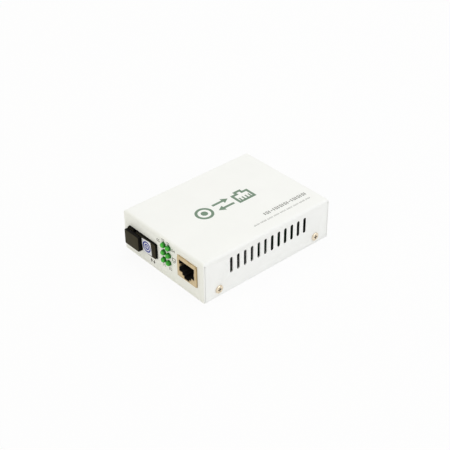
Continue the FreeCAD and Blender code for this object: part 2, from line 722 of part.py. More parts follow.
def make_jack_shield():
    """Shield bent from thin brass, open below, with two side springs in its mouth."""
    body = new_body("ethernet_jack_shield")
    Profile(body, "XY", "board_top").rectangle(
        "jack_left", "jack_front", "jack_right", "jack_rear").add("jack_height")
    inside = Profile(body, "XY", "board_top")
    inside.rectangle("jack_left + shield_sheet", "jack_front + shield_sheet",
                     "jack_right - shield_sheet", "jack_rear - shield_sheet")
    inside.cut("jack_height - shield_sheet")
    plug_outline(Profile(body, "XZ", "jack_front - shield_sheet")).cut("3 * shield_sheet")
    notches = Profile(body, "XZ", "jack_front - shield_sheet")
    notches.rectangle("jack_left - shield_notch", "jack_top - shield_notch",
                      "jack_left + shield_notch", "jack_top + shield_notch")
    notches.rectangle("jack_right - shield_notch", "jack_top - shield_notch",
                      "jack_right + shield_notch", "jack_top + shield_notch")
    notches.cut("2 * shield_sheet")
    springs = Profile(body, "XY", "board_top + spring_level")
    bend = "jack_front + spring_reach / 2"
    tip = "jack_front + spring_reach"
    for sign in ("-", "+"):
        inward = "+" if sign == "-" else "-"
        wall = "jack_middle %s plug_width / 2" % sign
        springs.polygon([
            (wall, "jack_front"), (wall, "jack_front + shield_sheet"),
            ("%s %s spring_bulge" % (wall, inward), bend),
            ("%s %s jack_gap" % (wall, inward), tip),
            ("%s %s (jack_gap + spring_sheet)" % (wall, inward), tip),
            ("%s %s (spring_bulge + spring_sheet)" % (wall, inward), bend),
            ("%s %s spring_sheet" % (wall, inward), "jack_front")])
    springs.add("spring_height")


def make_jack_housing():
    """Moulded body of the socket, open behind and above for the wire carrier."""
    body = new_body("ethernet_jack_housing")
    Profile(body, "XY", "board_top").rectangle(
        "jack_left + shell", "jack_front + shell", "jack_right - shell",
        "carrier_front - jack_gap").add("jack_height - shell")
    plug_outline(Profile(body, "XZ", "jack_front")).cut("plug_depth")
    half_row = "contact_count * contact_pitch / 2 + jack_gap"
    roof = Profile(body, "XY", "plug_top - jack_gap")
    roof.rectangle("jack_middle - (%s)" % half_row, "wire_front - jack_gap",
                   "jack_middle + (%s)" % half_row, "wire_front + contact_slot")
    roof.cut("jack_height")
    bed = Profile(body, "XY", "arm_bottom - jack_gap")
    bed.rectangle("jack_middle - (%s)" % half_row, "wire_front", "jack_middle + (%s)" % half_row,
                  "jack_rear")
    bed.cut("jack_height")
    pegs = Profile(body, "XY", "pin_end")
    for sign in ("-", "+"):
        pegs.circle("jack_middle %s jack_peg_side" % sign, "jack_front + jack_peg_back",
                    "jack_peg_radius")
    pegs.add("board_thickness + pin_below")


def make_wire_carrier():
    """Rear insert of the socket: a back block and an arm, grooved for eight wires."""
    body = new_body("ethernet_jack_carrier")
    back = "jack_rear - shell"
    Profile(body, "XY", "board_top").rectangle(
        "jack_left + shell", "carrier_front", "jack_right - shell", back).add("jack_height - shell")
    half_row = "contact_count * contact_pitch / 2"
    arm = Profile(body, "XY", "arm_bottom")
    arm.rectangle("jack_middle - " + half_row, "wire_front + contact_slot + jack_gap",
                  "jack_middle + " + half_row, "carrier_front + jack_gap")
    arm.add("carrier_arm")
    groove = Profile(body, "YZ", "%s - contact_width / 2 - jack_gap" % contact_place(0))
    deep = "(1.5 * contact_width + jack_gap)"
    past, above, below = back + " + shell", "arm_top + shell", "board_top - shell"
    groove.polygon([(past, below), (past, above), ("wire_front", above),
                    ("wire_front", "arm_top - " + deep), (back + " - " + deep, "arm_top - " + deep),
                    (back + " - " + deep, below)])
    repeat(body, groove.cut("contact_width + 2 * jack_gap"), "X", "contact_count", "contact_pitch")


def make_contacts():
    """Contact wires: up the carrier's back, along its arm and down into the mouth."""
    body = new_body("ethernet_jack_contacts")
    outer = "jack_rear - shell - contact_width / 2"
    inner = "jack_rear - shell - 1.5 * contact_width"
    top = "arm_top - contact_width / 2"
    under = "arm_top - 1.5 * contact_width"
    tip = "wire_front + contact_run"
    wire = Profile(body, "YZ", "%s - contact_width / 2" % contact_place(0))
    wire.polygon([
        (outer, "pin_end"), (outer, top), ("wire_front", top), ("wire_front", under),
        (tip, under + " - contact_drop"), (tip, under + " - contact_drop + contact_width"),
        ("wire_front + contact_width", under), (inner, under), (inner, "pin_end")])
    repeat(body, wire.add("contact_width"), "X", "contact_count", "contact_pitch")


# ------------------------------------------------------------------ optical transceiver

def make_optic_housing():
    """Black moulding: fibre port at the left of its face, hollow and open below behind it."""
    body = new_body("transceiver_housing")
    Profile(body, "XY", "board_top").rectangle(
        "optic_left", "optic_front", "optic_right", "optic_rear").add("optic_height")
    round_edges(body, "optic_round", fore_and_aft)
    port = Profile(body, "XZ", "optic_front")
    port.block("port_across", "port_middle", "port_width / 2", "port_height / 2")
    port.cut("port_depth")
    key = Profile(body, "XZ", "optic_front")
    key.rectangle("port_across - key_half", "port_middle", "port_across + key_half",
                  "optic_top + optic_wall")
    key.cut("key_depth")
    room = Profile(body, "XY", "board_top")
    room.rectangle("optic_left + optic_wall", "port_back + port_web", "optic_right - optic_wall",
                   "optic_rear - optic_wall")
    room.cut("optic_height - optic_wall")
    bore = Profile(body, "XZ", "port_back")
    bore.circle("port_across", "port_middle", "can_radius + jack_gap")
    bore.cut("port_web")
    pegs = Profile(body, "XY", "pin_end")
    for sign in ("-", "+"):
        pegs.block("optic_middle %s optic_peg_side" % sign, "optic_front + optic_peg_back",
                   "optic_peg_half", "optic_peg_half")
    pegs.add("board_thickness + pin_below")


def make_port_insert():
    """Latch insert at the bottom of the fibre port: a plate with two barbed hooks."""
    body = new_body("fibre_port_latch")
    plate = Profile(body, "XZ", "insert_front")
    plate.block("port_across", "port_middle", "port_width / 2 - insert_gap",
                "port_height / 2 - insert_gap")
    plate.add("insert_plate")
    hooks = Profile(body, "XY", "port_middle - hook_half")
    tip = "insert_front - hook_reach"
    for sign in ("-", "+"):
        inward = "+" if sign == "-" else "-"
        near = "port_across %s hook_inside" % sign
        far = "%s %s hook_sheet" % (near, sign)
        hooks.polygon([
            (near, "insert_front"), (far, "insert_front"), (far, tip), (near, tip),
            ("%s %s hook_barb" % (near, inward), tip + " + 2 * hook_barb"),
            (near, tip + " + 3 * hook_barb")])
    hooks.add("2 * hook_half")
    bore = Profile(body, "XZ", "insert_front - insert_gap")
    bore.circle("port_across", "port_middle", "sleeve_radius + jack_gap")
    bore.cut("insert_plate + 2 * insert_gap")


def make_sleeve():
    body = new_body("alignment_sleeve")
    start = "insert_front - sleeve_reach"
    length = "sleeve_reach + insert_plate"
    Profile(body, "XZ", start).circle("port_across", "port_middle", "sleeve_radius").add(length)
    Profile(body, "XZ", start).circle("port_across", "port_middle", "sleeve_bore").cut(length)
    slit = Profile(body, "XZ", start)
    slit.rectangle("port_across - sleeve_slit / 2", "port_middle", "port_across + sleeve_slit / 2",
                   "port_middle + 2 * sleeve_radius")
    slit.cut(length)


def make_optic_can():
    body = new_body("optical_subassembly")
    Profile(body, "XZ", "port_back").circle("port_across", "port_middle", "can_radius").add("can_length")
    collar = Profile(body, "XZ", "port_back + port_web")
    collar.block("port_across", "port_middle", "can_collar", "can_collar")
    collar.add("port_web")


def make_inner_board():
    body = new_body("transceiver_board")
    gap = "insert_gap"
    sketch = Profile(body, "XY", "port_middle - can_collar - inner_board")
    sketch.rectangle("optic_left + optic_wall + " + gap, "port_back + port_web + " + gap,
                     "optic_right - optic_wall - " + gap, "optic_rear - optic_wall - " + gap)
    sketch.add("inner_board")


def make_optic_pins():
    body = new_body("transceiver_pins")
    pins = Profile(body, "XY", "pin_end")
    pins.block(optic_pin(0), "optic_rear - optic_pin_back", "pin_width / 2", "pin_width / 2")
    reach = "port_middle - can_collar - inner_board - pin_end"
    repeat(body, pins.add(reach), "X", "optic_pin_count", "optic_pin_pitch")


def make_dust_cap():
    """Soft cap: a head over the port and a hollow stem that fills it."""
    body = new_body("dust_cap")
    head = Profile(body, "XZ", "cap_front")
    head.block("port_across", "port_middle - cap_drop", "cap_width / 2", "cap_height / 2")
    head.add("cap_thickness")
    round_edges(body, "cap_round", fore_and_aft)
    bevel_edges(body, "cap_bevel", lambda box: at(box.YMax, "cap_front"))
    stem = Profile(body, "XZ", "cap_back")
    stem.block("port_across", "port_middle", "stem_half_width", "stem_half_height")
    stem.add("cap_stem")
    hollow = Profile(body, "XZ", "cap_back")
    hollow.block("port_across", "port_middle", "stem_half_width - cap_wall",
                 "stem_half_height - cap_wall")
    hollow.cut("cap_stem")


def make_sticker():
    """Square paper sticker on the transceiver's face, stuck on a little askew."""
    body = new_body("inspection_sticker")
    face = Profile(body, "XZ", "optic_front - sticker_paper")
    corners = []
    for wide, tall in (("0 - 1", "0 - 1"), ("1", "0 - 1"), ("1", "1"), ("0 - 1", "1")):
        out, up = "(%s) * sticker_width / 2" % wide, "(%s) * sticker_height / 2" % tall
        corners.append(("sticker_across + %s * cos(sticker_turn) - %s * sin(sticker_turn)" % (out, up),
                        "sticker_middle + %s * sin(sticker_turn) + %s * cos(sticker_turn)" % (out, up)))
    face.polygon(corners).add("sticker_paper")


# ------------------------------------------------------------------ lamps

def make_lamps():
    for number, (across, up) in enumerate(lamp_places(), 1):
        body = new_body("status_lamp_%d" % number)
        dome = [("lamp_radius * sin(%d)" % angle, "lamp_tip + lamp_radius * (1 - cos(%d))" % angle)
                for angle in DOME_ANGLES]
        turn(body, across, up, [("0", "lamp_tip")] + dome + [("lamp_radius", "lamp_back")])


def make_lamp_holder():
    """Stacked holder that carries the six lamps behind the front panel."""
    body = new_body("lamp_holder")
    reach = "(lamp_radius + holder_gap + holder_wall)"
    block = Profile(body, "XZ", "holder_front")
    block.rectangle("lamp_across - " + reach, "board_top",
                    "lamp_across + %d * lamp_column + %s" % (LAMP_COLUMNS - 1, reach),
                    "lamp_level + %d * lamp_row + %s" % (LAMP_ROWS - 1, reach))
    block.add("holder_depth")
    channels = Profile(body, "XZ", "holder_front")
    bore = "(lamp_radius + holder_gap)"
    for column in range(LAMP_COLUMNS):
        middle = "lamp_across + %d * lamp_column" % column
        channels.rectangle("%s - %s" % (middle, bore), "lamp_level - " + bore, "%s + %s" % (middle, bore),
                           "lamp_level + %d * lamp_row + %s" % (LAMP_ROWS - 1, bore))
    channels.cut("holder_depth")


def make_lamp_leads():
    """Two leads from each lamp, back out of the holder and down through the board."""
    body = new_body("lamp_leads")
    for row in range(LAMP_ROWS):
        level = "lamp_level + %d * lamp_row" % row
        turn = lead_place(row)
        for column in range(LAMP_COLUMNS):
            for sign in ("-", "+"):
                middle = "lamp_across + %d * lamp_column %s lamp_lead" % (column, sign)
                lead = Profile(body, "YZ", middle + " - pin_width / 2")
                lead.polygon([
                    ("lamp_back", level + " - pin_width / 2"),
                    ("lamp_back", level + " + pin_width / 2"),
                    (turn + " + pin_width / 2", level + " + pin_width / 2"),
                    (turn + " + pin_width / 2", "pin_end"),
                    (turn + " - pin_width / 2", "pin_end"),
                    (turn + " - pin_width / 2", level + " - pin_width / 2")])
                lead.add("pin_width")


# ------------------------------------------------------------------ DC inlet

def make_inlet_body():
    body = new_body("dc_inlet_body")
    half = "inlet_width / 2"
    block = Profile(body, "XZ", "inlet_back")
    block.rectangle("inlet_across - " + half, "board_top", "inlet_across + " + half,
                    "board_top + inlet_height")
    block.add("inlet_length")
    round_edges(body, "inlet_shoulder",
                lambda box: fore_and_aft(box) and at(box.ZMin, "board_top + inlet_height"))
    socket = Profile(body, "XZ", "inlet_mouth - inlet_depth")
    socket.circle("inlet_across", "inlet_middle", "inlet_bore")
    socket.cut("inlet_depth")


def make_inlet_pin():
    body = new_body("dc_inlet_pin")
    tip = "inlet_mouth - inlet_pin_back"
    pin = Profile(body, "XZ", "inlet_mouth - inlet_depth")
    pin.circle("inlet_across", "inlet_middle", "inlet_pin")
    pin.add("inlet_depth - inlet_pin_back")
    bevel_edges(body, "inlet_pin / 3", lambda box: at(box.YMin, tip))


def make_inlet_tabs():
    """Solder tabs under the inlet and the spring leaf in the bottom of its socket."""
    body = new_body("dc_inlet_terminals")
    tabs = Profile(body, "XY", "pin_end")
    for across, along, half_width, half_length in tab_places():
        tabs.block(across, along, half_width, half_length)
    tabs.add("board_thickness + pin_below")
    leaf = Profile(body, "YZ", "inlet_across - leaf_half")
    floor = "inlet_middle - sqrt(inlet_bore * inlet_bore - leaf_half * leaf_half) + thread_gap"
    start = "inlet_mouth - inlet_depth"
    leaf.polygon([
        (start, floor), (start + " + inlet_depth / 5", floor),
        (start + " + inlet_depth / 2", floor + " + 2 * leaf_sheet"),
        (start + " + inlet_depth * 0.8", floor),
        (start + " + inlet_depth * 0.8", floor + " + leaf_sheet"),
        (start + " + inlet_depth / 2", floor + " + 3 * leaf_sheet"),
        (start + " + inlet_depth / 5", floor + " + leaf_sheet"), (start, floor + " + leaf_sheet")])
    leaf.add("2 * leaf_half")


# ------------------------------------------------------------------ parts on the board

def flat_leads(body, half_body, count, pitch):
    """A row of flat leads along +X, under and out of the +Y side of a package."""
    lead = Profile(body, "XY")
    lead.rectangle("0 - (%s - 1) / 2 * %s - lead_width / 2" % (count, pitch), half_body + " - lead_out / 2",
                   "0 - (%s - 1) / 2 * %s + lead_width / 2" % (count, pitch), half_body + " + lead_out")
    return repeat(body, lead.add("lead_sheet"), "X", count, pitch)


def make_controller():
    body = new_body("media_controller_chip", "chip_across", "chip_along", "board_top")
    package = Profile(body, "XY", "lead_sheet")
    package.block("0", "0", "chip_side / 2", "chip_side / 2")
    package.add("chip_height")
    leads = new_body("controller_leads", "chip_across", "chip_along", "board_top")
    flat_leads(leads, "chip_side / 2", "chip_lead_count", "chip_lead_pitch")
    turned = leads.newObject("PartDesign::PolarPattern", "controller_leads_ring")
    turned.TransformMode = "Whole shape"
    upright_axis = [item for item in leads.Origin.OriginFeatures if item.Role == "Z_Axis"][0]
    turned.Axis = (upright_axis, [""])
    turned.Angle = 360
    turned.Occurrences = 4
    leads.Tip = turned


def make_transformer():
    body = new_body("isolation_transformer", "jack_middle", "magnet_along", "board_top")
    package = Profile(body, "XY", "lead_sheet")
    package.block("0", "0", "magnet_width / 2", "magnet_length / 2")
    package.add("magnet_height")
    leads = new_body("transformer_leads", "jack_middle", "magnet_along", "board_top")
    flat_leads(leads, "magnet_length / 2", "magnet_lead_count", "magnet_lead_pitch")
    mirror(leads, "XZ")


def make_crystal():
    body = new_body("crystal_can", "crystal_across", "crystal_along", "board_top")
    foot = Profile(body, "XY")
    foot.block("0", "0", "crystal_half_width + crystal_foot", "crystal_half_length + crystal_foot")
    foot.add("crystal_foot")
    can = Profile(body, "XY")
    can.block("0", "0", "crystal_half_width", "crystal_half_length")
    can.add("crystal_height")
    round_edges(body, "crystal_foot", lambda box: upright(box) and box.ZLength > value("2 * crystal_foot"))


def make_bulk_capacitors():
    body = new_body("bulk_capacitors", "0", "0", "board_top")
    cans = Profile(body, "XY")
    for number in range(2):
        cans.circle("bulk_across", "bulk_along - %d * bulk_pitch" % number, "bulk_radius")
    cans.add("bulk_height")


def make_inductor():
    body = new_body("power_inductor", "coil_across", "coil_along", "board_top")
    Profile(body, "XY").block("0", "0", "coil_half", "coil_half").add("coil_height")
    round_edges(body, "coil_round", upright)


def make_regulator():
    body = new_body("voltage_regulator", "inlet_across", "regulator_along", "board_top")
    package = Profile(body, "XY")
    package.block("0", "0", "regulator_half", "regulator_length / 2")
    package.add("regulator_height")
    tab = Profile(body, "XY")
    tab.rectangle("0 - regulator_tab", "regulator_length / 2", "regulator_tab",
                  "regulator_length / 2 + regulator_tab")
    tab.add("lead_sheet")


def make_chip_parts():
    body = new_body("chip_components", "chip_part_across", "chip_part_along", "board_top")
    part = Profile(body, "XY")
    for row in range(2):
        part.block("0", "%d * 2 * chip_part_length" % row, "chip_part_half", "chip_part_length / 2")
    repeat(body, part.add("chip_part_height"), "X", "chip_part_count", "chip_part_pitch")


# ------------------------------------------------------------------ build and write

for make in (make_cover, make_base, make_cover_screws, make_posts, make_board_screws, make_board,
             make_jack_shield, make_jack_housing, make_wire_carrier, make_contacts,
             make_optic_housing, make_port_insert, make_sleeve, make_optic_can, make_inner_board,
             make_optic_pins, make_dust_cap, make_sticker, make_lamps, make_lamp_holder,
             make_lamp_leads, make_inlet_body, make_inlet_pin, make_inlet_tabs, make_controller,
             make_transformer, make_crystal, make_bulk_capacitors, make_inductor, make_regulator,
             make_chip_parts):
    make()
doc.recompute()

for item in doc.Objects:
    if "Invalid" in item.State or "Error" in item.State:
        raise RuntimeError("%s did not compute: %s" % (item.Name, item.State))

os.makedirs("parts", exist_ok=True)
for body in NODES:
    shape = body.Shape
    if shape.isNull() or not shape.isValid() or not shape.Solids:
        raise RuntimeError("%s has no sound shape" % body.Label)
    print("%-24s %3d solids %9.2f mm3" % (body.Label, len(shape.Solids), shape.Volume))
    shape.exportStep(os.path.join("parts", body.Label + ".step"))
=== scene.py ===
"""Dressing of a fibre media converter: finishes, print, lenses and studio.

Lengths are in metres where no docstring says mm, in the part's own frame: +X to the right
when facing the front panel, +Y to the back, +Z up, origin in the middle of the underside.
"""
import logging
import math
from collections.abc import Callable, Iterator, Mapping, Sequence
from contextlib import contextmanager
from dataclasses import dataclass, field
from enum import Enum
from functools import lru_cache

import bpy
from mathutils import Matrix, Vector


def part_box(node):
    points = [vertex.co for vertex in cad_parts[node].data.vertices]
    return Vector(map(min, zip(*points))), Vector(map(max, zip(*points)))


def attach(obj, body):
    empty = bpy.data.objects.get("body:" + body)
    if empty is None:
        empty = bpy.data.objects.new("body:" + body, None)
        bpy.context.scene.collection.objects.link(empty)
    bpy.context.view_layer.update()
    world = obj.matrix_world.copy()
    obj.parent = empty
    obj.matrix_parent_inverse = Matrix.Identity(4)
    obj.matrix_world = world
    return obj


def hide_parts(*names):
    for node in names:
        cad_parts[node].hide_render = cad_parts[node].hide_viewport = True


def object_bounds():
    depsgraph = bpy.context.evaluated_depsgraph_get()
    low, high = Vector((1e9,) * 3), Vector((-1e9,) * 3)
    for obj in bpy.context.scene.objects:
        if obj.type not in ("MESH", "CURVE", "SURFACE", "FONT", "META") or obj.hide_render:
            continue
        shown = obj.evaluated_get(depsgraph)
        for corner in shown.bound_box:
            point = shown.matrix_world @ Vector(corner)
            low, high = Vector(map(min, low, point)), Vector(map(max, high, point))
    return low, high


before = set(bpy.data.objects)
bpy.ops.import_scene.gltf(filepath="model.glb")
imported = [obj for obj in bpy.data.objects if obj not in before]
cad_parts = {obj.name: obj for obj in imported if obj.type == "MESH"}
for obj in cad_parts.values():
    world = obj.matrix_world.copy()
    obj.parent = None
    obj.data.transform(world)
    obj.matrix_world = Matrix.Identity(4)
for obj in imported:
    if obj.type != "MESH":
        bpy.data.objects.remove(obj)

CAD_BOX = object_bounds()
MM = 0.001
WELD = 1e-6
INK_LIFT = 0.012 * MM
FONT_SIZE_SHARE = 1.4
NOISE_LOW, NOISE_HIGH = 0.3, 0.7
log = logging.getLogger("media_converter")

Triple = tuple[float, float, float]
Colour = Triple
Point = tuple[float, float]
Outline = tuple[Point, ...]
Output = bpy.types.NodeSocket
Piece = bpy.types.Object


class Body(Enum):
    """The moving bodies of the part."""

    CHASSIS = "chassis"
    CAP = "cap"


class Axis(Enum):
    """Directions along which metal is drawn or rolled."""

    X = 0
    Y = 1
    Z = 2


def tone(*chart: float) -> Colour:
    """Undo the display curve of a paint chart's values, as shaders take linear colours.

    Args:
        chart: Red, green and blue, from 0 to 255.

    Returns:
        The linear colour.
    """
    shares = [level / 255 for level in chart]
    return tuple(share / 12.92 if share <= 0.04045 else ((share + 0.055) / 1.055) ** 2.4
                 for share in shares)


# Finishes


class NodeBench:
    """A node tree, with calls for the nodes that the finishes and the studio share."""

    def __init__(self, tree: bpy.types.NodeTree) -> None:
        """Take up a tree."""
        self.tree = tree

    def feed(self, node: bpy.types.Node, values: Mapping[str | int, object]) -> None:
        """Set a node's inputs, or link them where the value is another node's output.

        Args:
            node: The node.
            values: Values and outputs, by the input's name or number.
        """
        for key, value in values.items():
            if isinstance(value, Output):
                self.tree.links.new(value, node.inputs[key])
            else:
                node.inputs[key].default_value = value

    def add(self, kind: str, inputs: Mapping[str | int, object] | None = None,
            **settings: object) -> bpy.types.Node:
        """Add one node.

        Args:
            kind: The node's type, without the ShaderNode that they all start with.
            inputs: Values and outputs for its inputs.
            settings: Properties to set on it.

        Returns:
            The node.
        """
        node = self.tree.nodes.new("ShaderNode" + kind)
        for key, setting in settings.items():
            setattr(node, key, setting)
        self.feed(node, inputs or {})
        return node

    def rescale(self, source: Output, start: float, end: float, low: float = 0.0,
                high: float = 1.0) -> Output:
        """Carry a value's range from start to end over to the range from low to high."""
        return self.add("MapRange", {"Value": source, "From Min": start, "From Max": end,
                                     "To Min": low, "To Max": high}).outputs["Result"]

    def seen_directly(self) -> Output:
        """1 for what the camera sees, itself or by reflection or through glass, and else 0.

        Returns:
            The value.
        """
        path = self.add("LightPath")
        total = path.outputs["Is Camera Ray"]
        for kind in ("Is Glossy Ray", "Is Transmission Ray"):
            either = self.add("Math", {0: total, 1: path.outputs[kind]}, operation="MAXIMUM")
            total = either.outputs[0]
        return total


class FinishBench(NodeBench):
    """A new material's node tree, with calls for the patterns that the finishes share."""

    def __init__(self, name: str) -> None:
        """Start a material with a plain shader.

        Args:
            name: The material's name.
        """
        self.material = bpy.data.materials.new(name)
        self.material.use_nodes = True
        super().__init__(self.material.node_tree)
        self.shader = self.tree.nodes["Principled BSDF"]
        self.place = self.add("TexCoord").outputs["Object"]

    def set(self, **values: object) -> None:
        """Set or link the shader's own inputs, named with underscores for spaces."""
        self.feed(self.shader, {key.replace("_", " "): value for key, value in values.items()})

    def noise(self, size: float, detail: float = 2.0,
              stretch: Sequence[float] | None = None) -> Output:
        """Cloudy noise.

        Args:
            size: How far it is from blot to blot.
            detail: Layers of finer noise.
            stretch: Scale of the noise along each axis, where it is drawn out.

        Returns:
            The noise, from 0 to 1.
        """
        place = self.place
        if stretch:
            place = self.add("Mapping", {"Scale": stretch, "Vector": place}).outputs["Vector"]
        return self.add("TexNoise", {"Scale": 1 / size, "Detail": detail,
                                     "Vector": place}).outputs["Fac"]

    def ramp(self, source: Output, low: Colour, high: Colour, start: float = NOISE_LOW,
             end: float = NOISE_HIGH) -> Output:
        """Colours laid along a value.

        Args:
            source: The value.
            low: Colour at the start.
            high: Colour at the end.
            start: Value at which the first colour ends.
            end: Value at which the second colour is reached.

        Returns:
            The colour.
        """
        node = self.add("ValToRGB", {"Fac": source})
        first, last = node.color_ramp.elements
        first.position, last.position = start, end
        first.color, last.color = (*low, 1.0), (*high, 1.0)
        return node.outputs["Color"]

    def blend(self, share: Output | float, below: Output, above: Output,
              kind: str = "MIX") -> Output:
        """Lay the colour above over the one below, by a share and in the way of a kind."""
        # The node's inputs 6 and 7 take colours, and its output 2 gives the mixed one.
        return self.add("Mix", {"Factor": share, 6: below, 7: above}, data_type="RGBA",
                        blend_type=kind).outputs[2]

    def facing(self, start: float = 0.55, end: float = 0.9) -> Output:
        """How squarely the surface faces front or back.

        Args:
            start: Share of the normal along Y at which the value leaves 0.
            end: Share at which it reaches 1.

        Returns:
            The value.
        """
        normal = self.add("TexCoord").outputs["Normal"]
        share = self.add("SeparateXYZ", {"Vector": normal}).outputs["Y"]
        size = self.add("Math", {0: share}, operation="ABSOLUTE").outputs[0]
        return self.rescale(size, start, end)

    def relief(self, height: Output, depth: float, strength: float) -> None:
        """Raise the surface by a value, over any relief that it has.

        Args:
            height: The value, from 0 to 1.
            depth: Height that 1 stands for.
            strength: Share of the effect.
        """
        node = self.add("Bump", {"Distance": depth, "Strength": strength, "Height": height})
        normal = self.shader.inputs["Normal"]
        if normal.is_linked:
            self.feed(node, {"Normal": normal.links[0].from_socket})
        self.set(Normal=node.outputs["Normal"])


@dataclass(frozen=True)
class Finish:
    """A surface finish with the name of a slot, made into a material at its first use."""

    name: str
    slot: str
    colour: Colour
    shade: Colour
    roughness: float = 0.5
    swing: Point = (0.0, 0.0)

    @lru_cache(maxsize=None)
    def material(self) -> bpy.types.Material:
        """Make the finish's material.

        Returns:
            The material, the same one each time.
        """
        bench = FinishBench(self.name)
        self.dress(bench)
        bench.material.diffuse_color = (*self.colour, 1.0)
        return bench.material

    def dress(self, bench: FinishBench) -> None:
        """Build the nodes on a bench."""
        raise NotImplementedError(self.name)

    def rough(self, bench: FinishBench, source: Output) -> Output:
        """The roughness, which swings about its middle along a noise.

        Args:
            bench: The bench.
            source: The noise.

        Returns:
            The value.
        """
        below, above = self.swing
        return bench.rescale(source, NOISE_LOW, NOISE_HIGH, self.roughness - below,
                             self.roughness + above)


@dataclass(frozen=True)
class PowderCoat(Finish):
    """Baked powder paint: faint orange peel and a slight mottle in the colour."""

    swing: Point = (0.06, 0.06)
    mottle: float = 18 * MM
    peel: float = 0.9 * MM
    grain: float = 0.22 * MM

    def dress(self, bench: FinishBench) -> None:
        """Build the nodes.

        Args:
            bench: The bench that gets them.
        """
        cloud = bench.noise(self.mottle, detail=3.0)
        peel = bench.noise(self.peel, detail=1.5)
        bench.set(Base_Color=bench.ramp(cloud, self.shade, self.colour),
                  Roughness=self.rough(bench, peel), Specular_IOR_Level=0.35)
        bench.relief(peel, depth=0.008 * MM, strength=0.6)
        bench.relief(bench.noise(self.grain), depth=0.002 * MM, strength=0.5)


@dataclass(frozen=True)
class Moulding(Finish):
    """Moulded plastic with a spark-eroded texture and flow marks; given a lighter tone, the faces
    towards front or back get it as painted light.
    """

    swing: Point = (0.1, 0.12)
    flow: float = 5 * MM
    drawn_out: Triple = (1.0, 0.35, 1.0)
    grain: float = 0.16 * MM
    depth: float = 0.012 * MM
    specular: float = 0.4
    # Painted light: the lighter tone of faces towards front or back, and the share that gives its
    # darker end.
    front_painted_light: Colour | None = None
    front_painted_low_share: float = 0.84

    def dress(self, bench: FinishBench) -> None:
        """Build the nodes.

        Args:
            bench: The bench that gets them.
        """
        flow = bench.noise(self.flow, detail=3.0, stretch=self.drawn_out)
        colour = bench.ramp(flow, self.shade, self.colour)
        # Painted light: faces towards front or back are laid over with a lighter tone than the
        # rest, standing in for how the light falls on them.
        if self.front_painted_light:
            front_painted_low = tuple(self.front_painted_low_share * level for level in self.front_painted_light)
            colour = bench.blend(bench.facing(), colour, bench.ramp(flow, front_painted_low, self.front_painted_light))
        grain = bench.noise(self.grain)
        bench.set(Base_Color=colour, Roughness=self.rough(bench, grain),
                  Specular_IOR_Level=self.specular)
        bench.relief(grain, self.depth, strength=0.5)


@dataclass(frozen=True)
class Metal(Finish):
    """Bare or plated metal with rolling marks along one axis and a patchy tarnish."""

    roughness: float = 0.35
    swing: Point = (0.08, 0.1)
    grain_along: Axis = Axis.Y
    drawn_out: float = 0.06
    streak: float = 0.12 * MM
    patch: float = 3.5 * MM
    depth: float = 0.004 * MM

    def dress(self, bench: FinishBench) -> None:
        """Build the nodes.

        Args:
            bench: The bench that gets them.
        """
        stretch = [self.drawn_out if axis is self.grain_along else 1.0 for axis in Axis]
        streaks = bench.noise(self.streak, detail=3.0, stretch=stretch)
        patches = bench.noise(self.patch, detail=3.0)
        tarnish = bench.ramp(patches, self.shade, self.colour, start=0.25, end=0.6)
        bench.set(Base_Color=tarnish, Roughness=self.rough(bench, streaks), Metallic=1.0)
        bench.relief(streaks, self.depth, strength=0.4)


@dataclass(frozen=True)
class LensResin(Finish):
    """Tinted, diffused epoxy of a lamp, lighter at the tip of the dome as a painted highlight and
    darker at the sides as painted shade.
    """

    roughness: float = 0.22
    swing: Point = (0.04, 0.08)
    # Painted shade for the sides of the dome.
    painted_side_shade: Colour = (0.006, 0.105, 0.007)
    cloud: float = 0.9 * MM
    scatter: Triple = (0.3, 1.0, 0.25)
    scatter_depth: float = 0.8 * MM

    def dress(self, bench: FinishBench) -> None:
        """Build the nodes.

        Args:
            bench: The bench that gets them.
        """
        haze = bench.noise(self.cloud)
        # Painted light: the tip of the dome gets a lighter ramp and the sides a darker one, by
        # how squarely they face front or back.
        lit_tip = bench.ramp(haze, self.shade, self.colour, start=0.2, end=0.65)
        side = bench.ramp(haze, self.painted_side_shade, self.shade, start=0.2, end=0.9)
        bench.set(Base_Color=bench.blend(bench.facing(start=0.1, end=0.8), side, lit_tip),
                  Roughness=self.rough(bench, haze), Subsurface_Weight=0.25,
                  Subsurface_Scale=self.scatter_depth, Subsurface_Radius=self.scatter,
                  Coat_Weight=0.08, Coat_Roughness=0.12, IOR=1.45, Specular_IOR_Level=0.3)


@dataclass(frozen=True)
class Paper(Finish):
    """Coated label paper with faint fibres."""

    roughness: float = 0.6
    fibre: float = 0.25 * MM
    drawn_out: Triple = (1.0, 1.0, 0.3)

    def dress(self, bench: FinishBench) -> None:
        """Build the nodes.

        Args:
            bench: The bench that gets them.
        """
        fibres = bench.noise(self.fibre, detail=4.0, stretch=self.drawn_out)
        bench.set(Base_Color=bench.ramp(fibres, self.shade, self.colour),
                  Roughness=self.roughness, Specular_IOR_Level=0.3)
        bench.relief(fibres, depth=0.01 * MM, strength=0.4)


@dataclass(frozen=True)
class Ink(Finish):
    """Screen-printed ink, a little thinner between the threads of the screen."""

    roughness: float = 0.55
    mesh: float = 0.35 * MM

    def dress(self, bench: FinishBench) -> None:
        """Build the nodes.

        Args:
            bench: The bench that gets them.
        """
        weave = bench.noise(self.mesh, detail=1.0)
        bench.set(Base_Color=bench.ramp(weave, self.shade, self.colour, start=0.15, end=0.6),
                  Roughness=self.roughness, Specular_IOR_Level=0.3)
        bench.relief(weave, depth=0.004 * MM, strength=0.5)


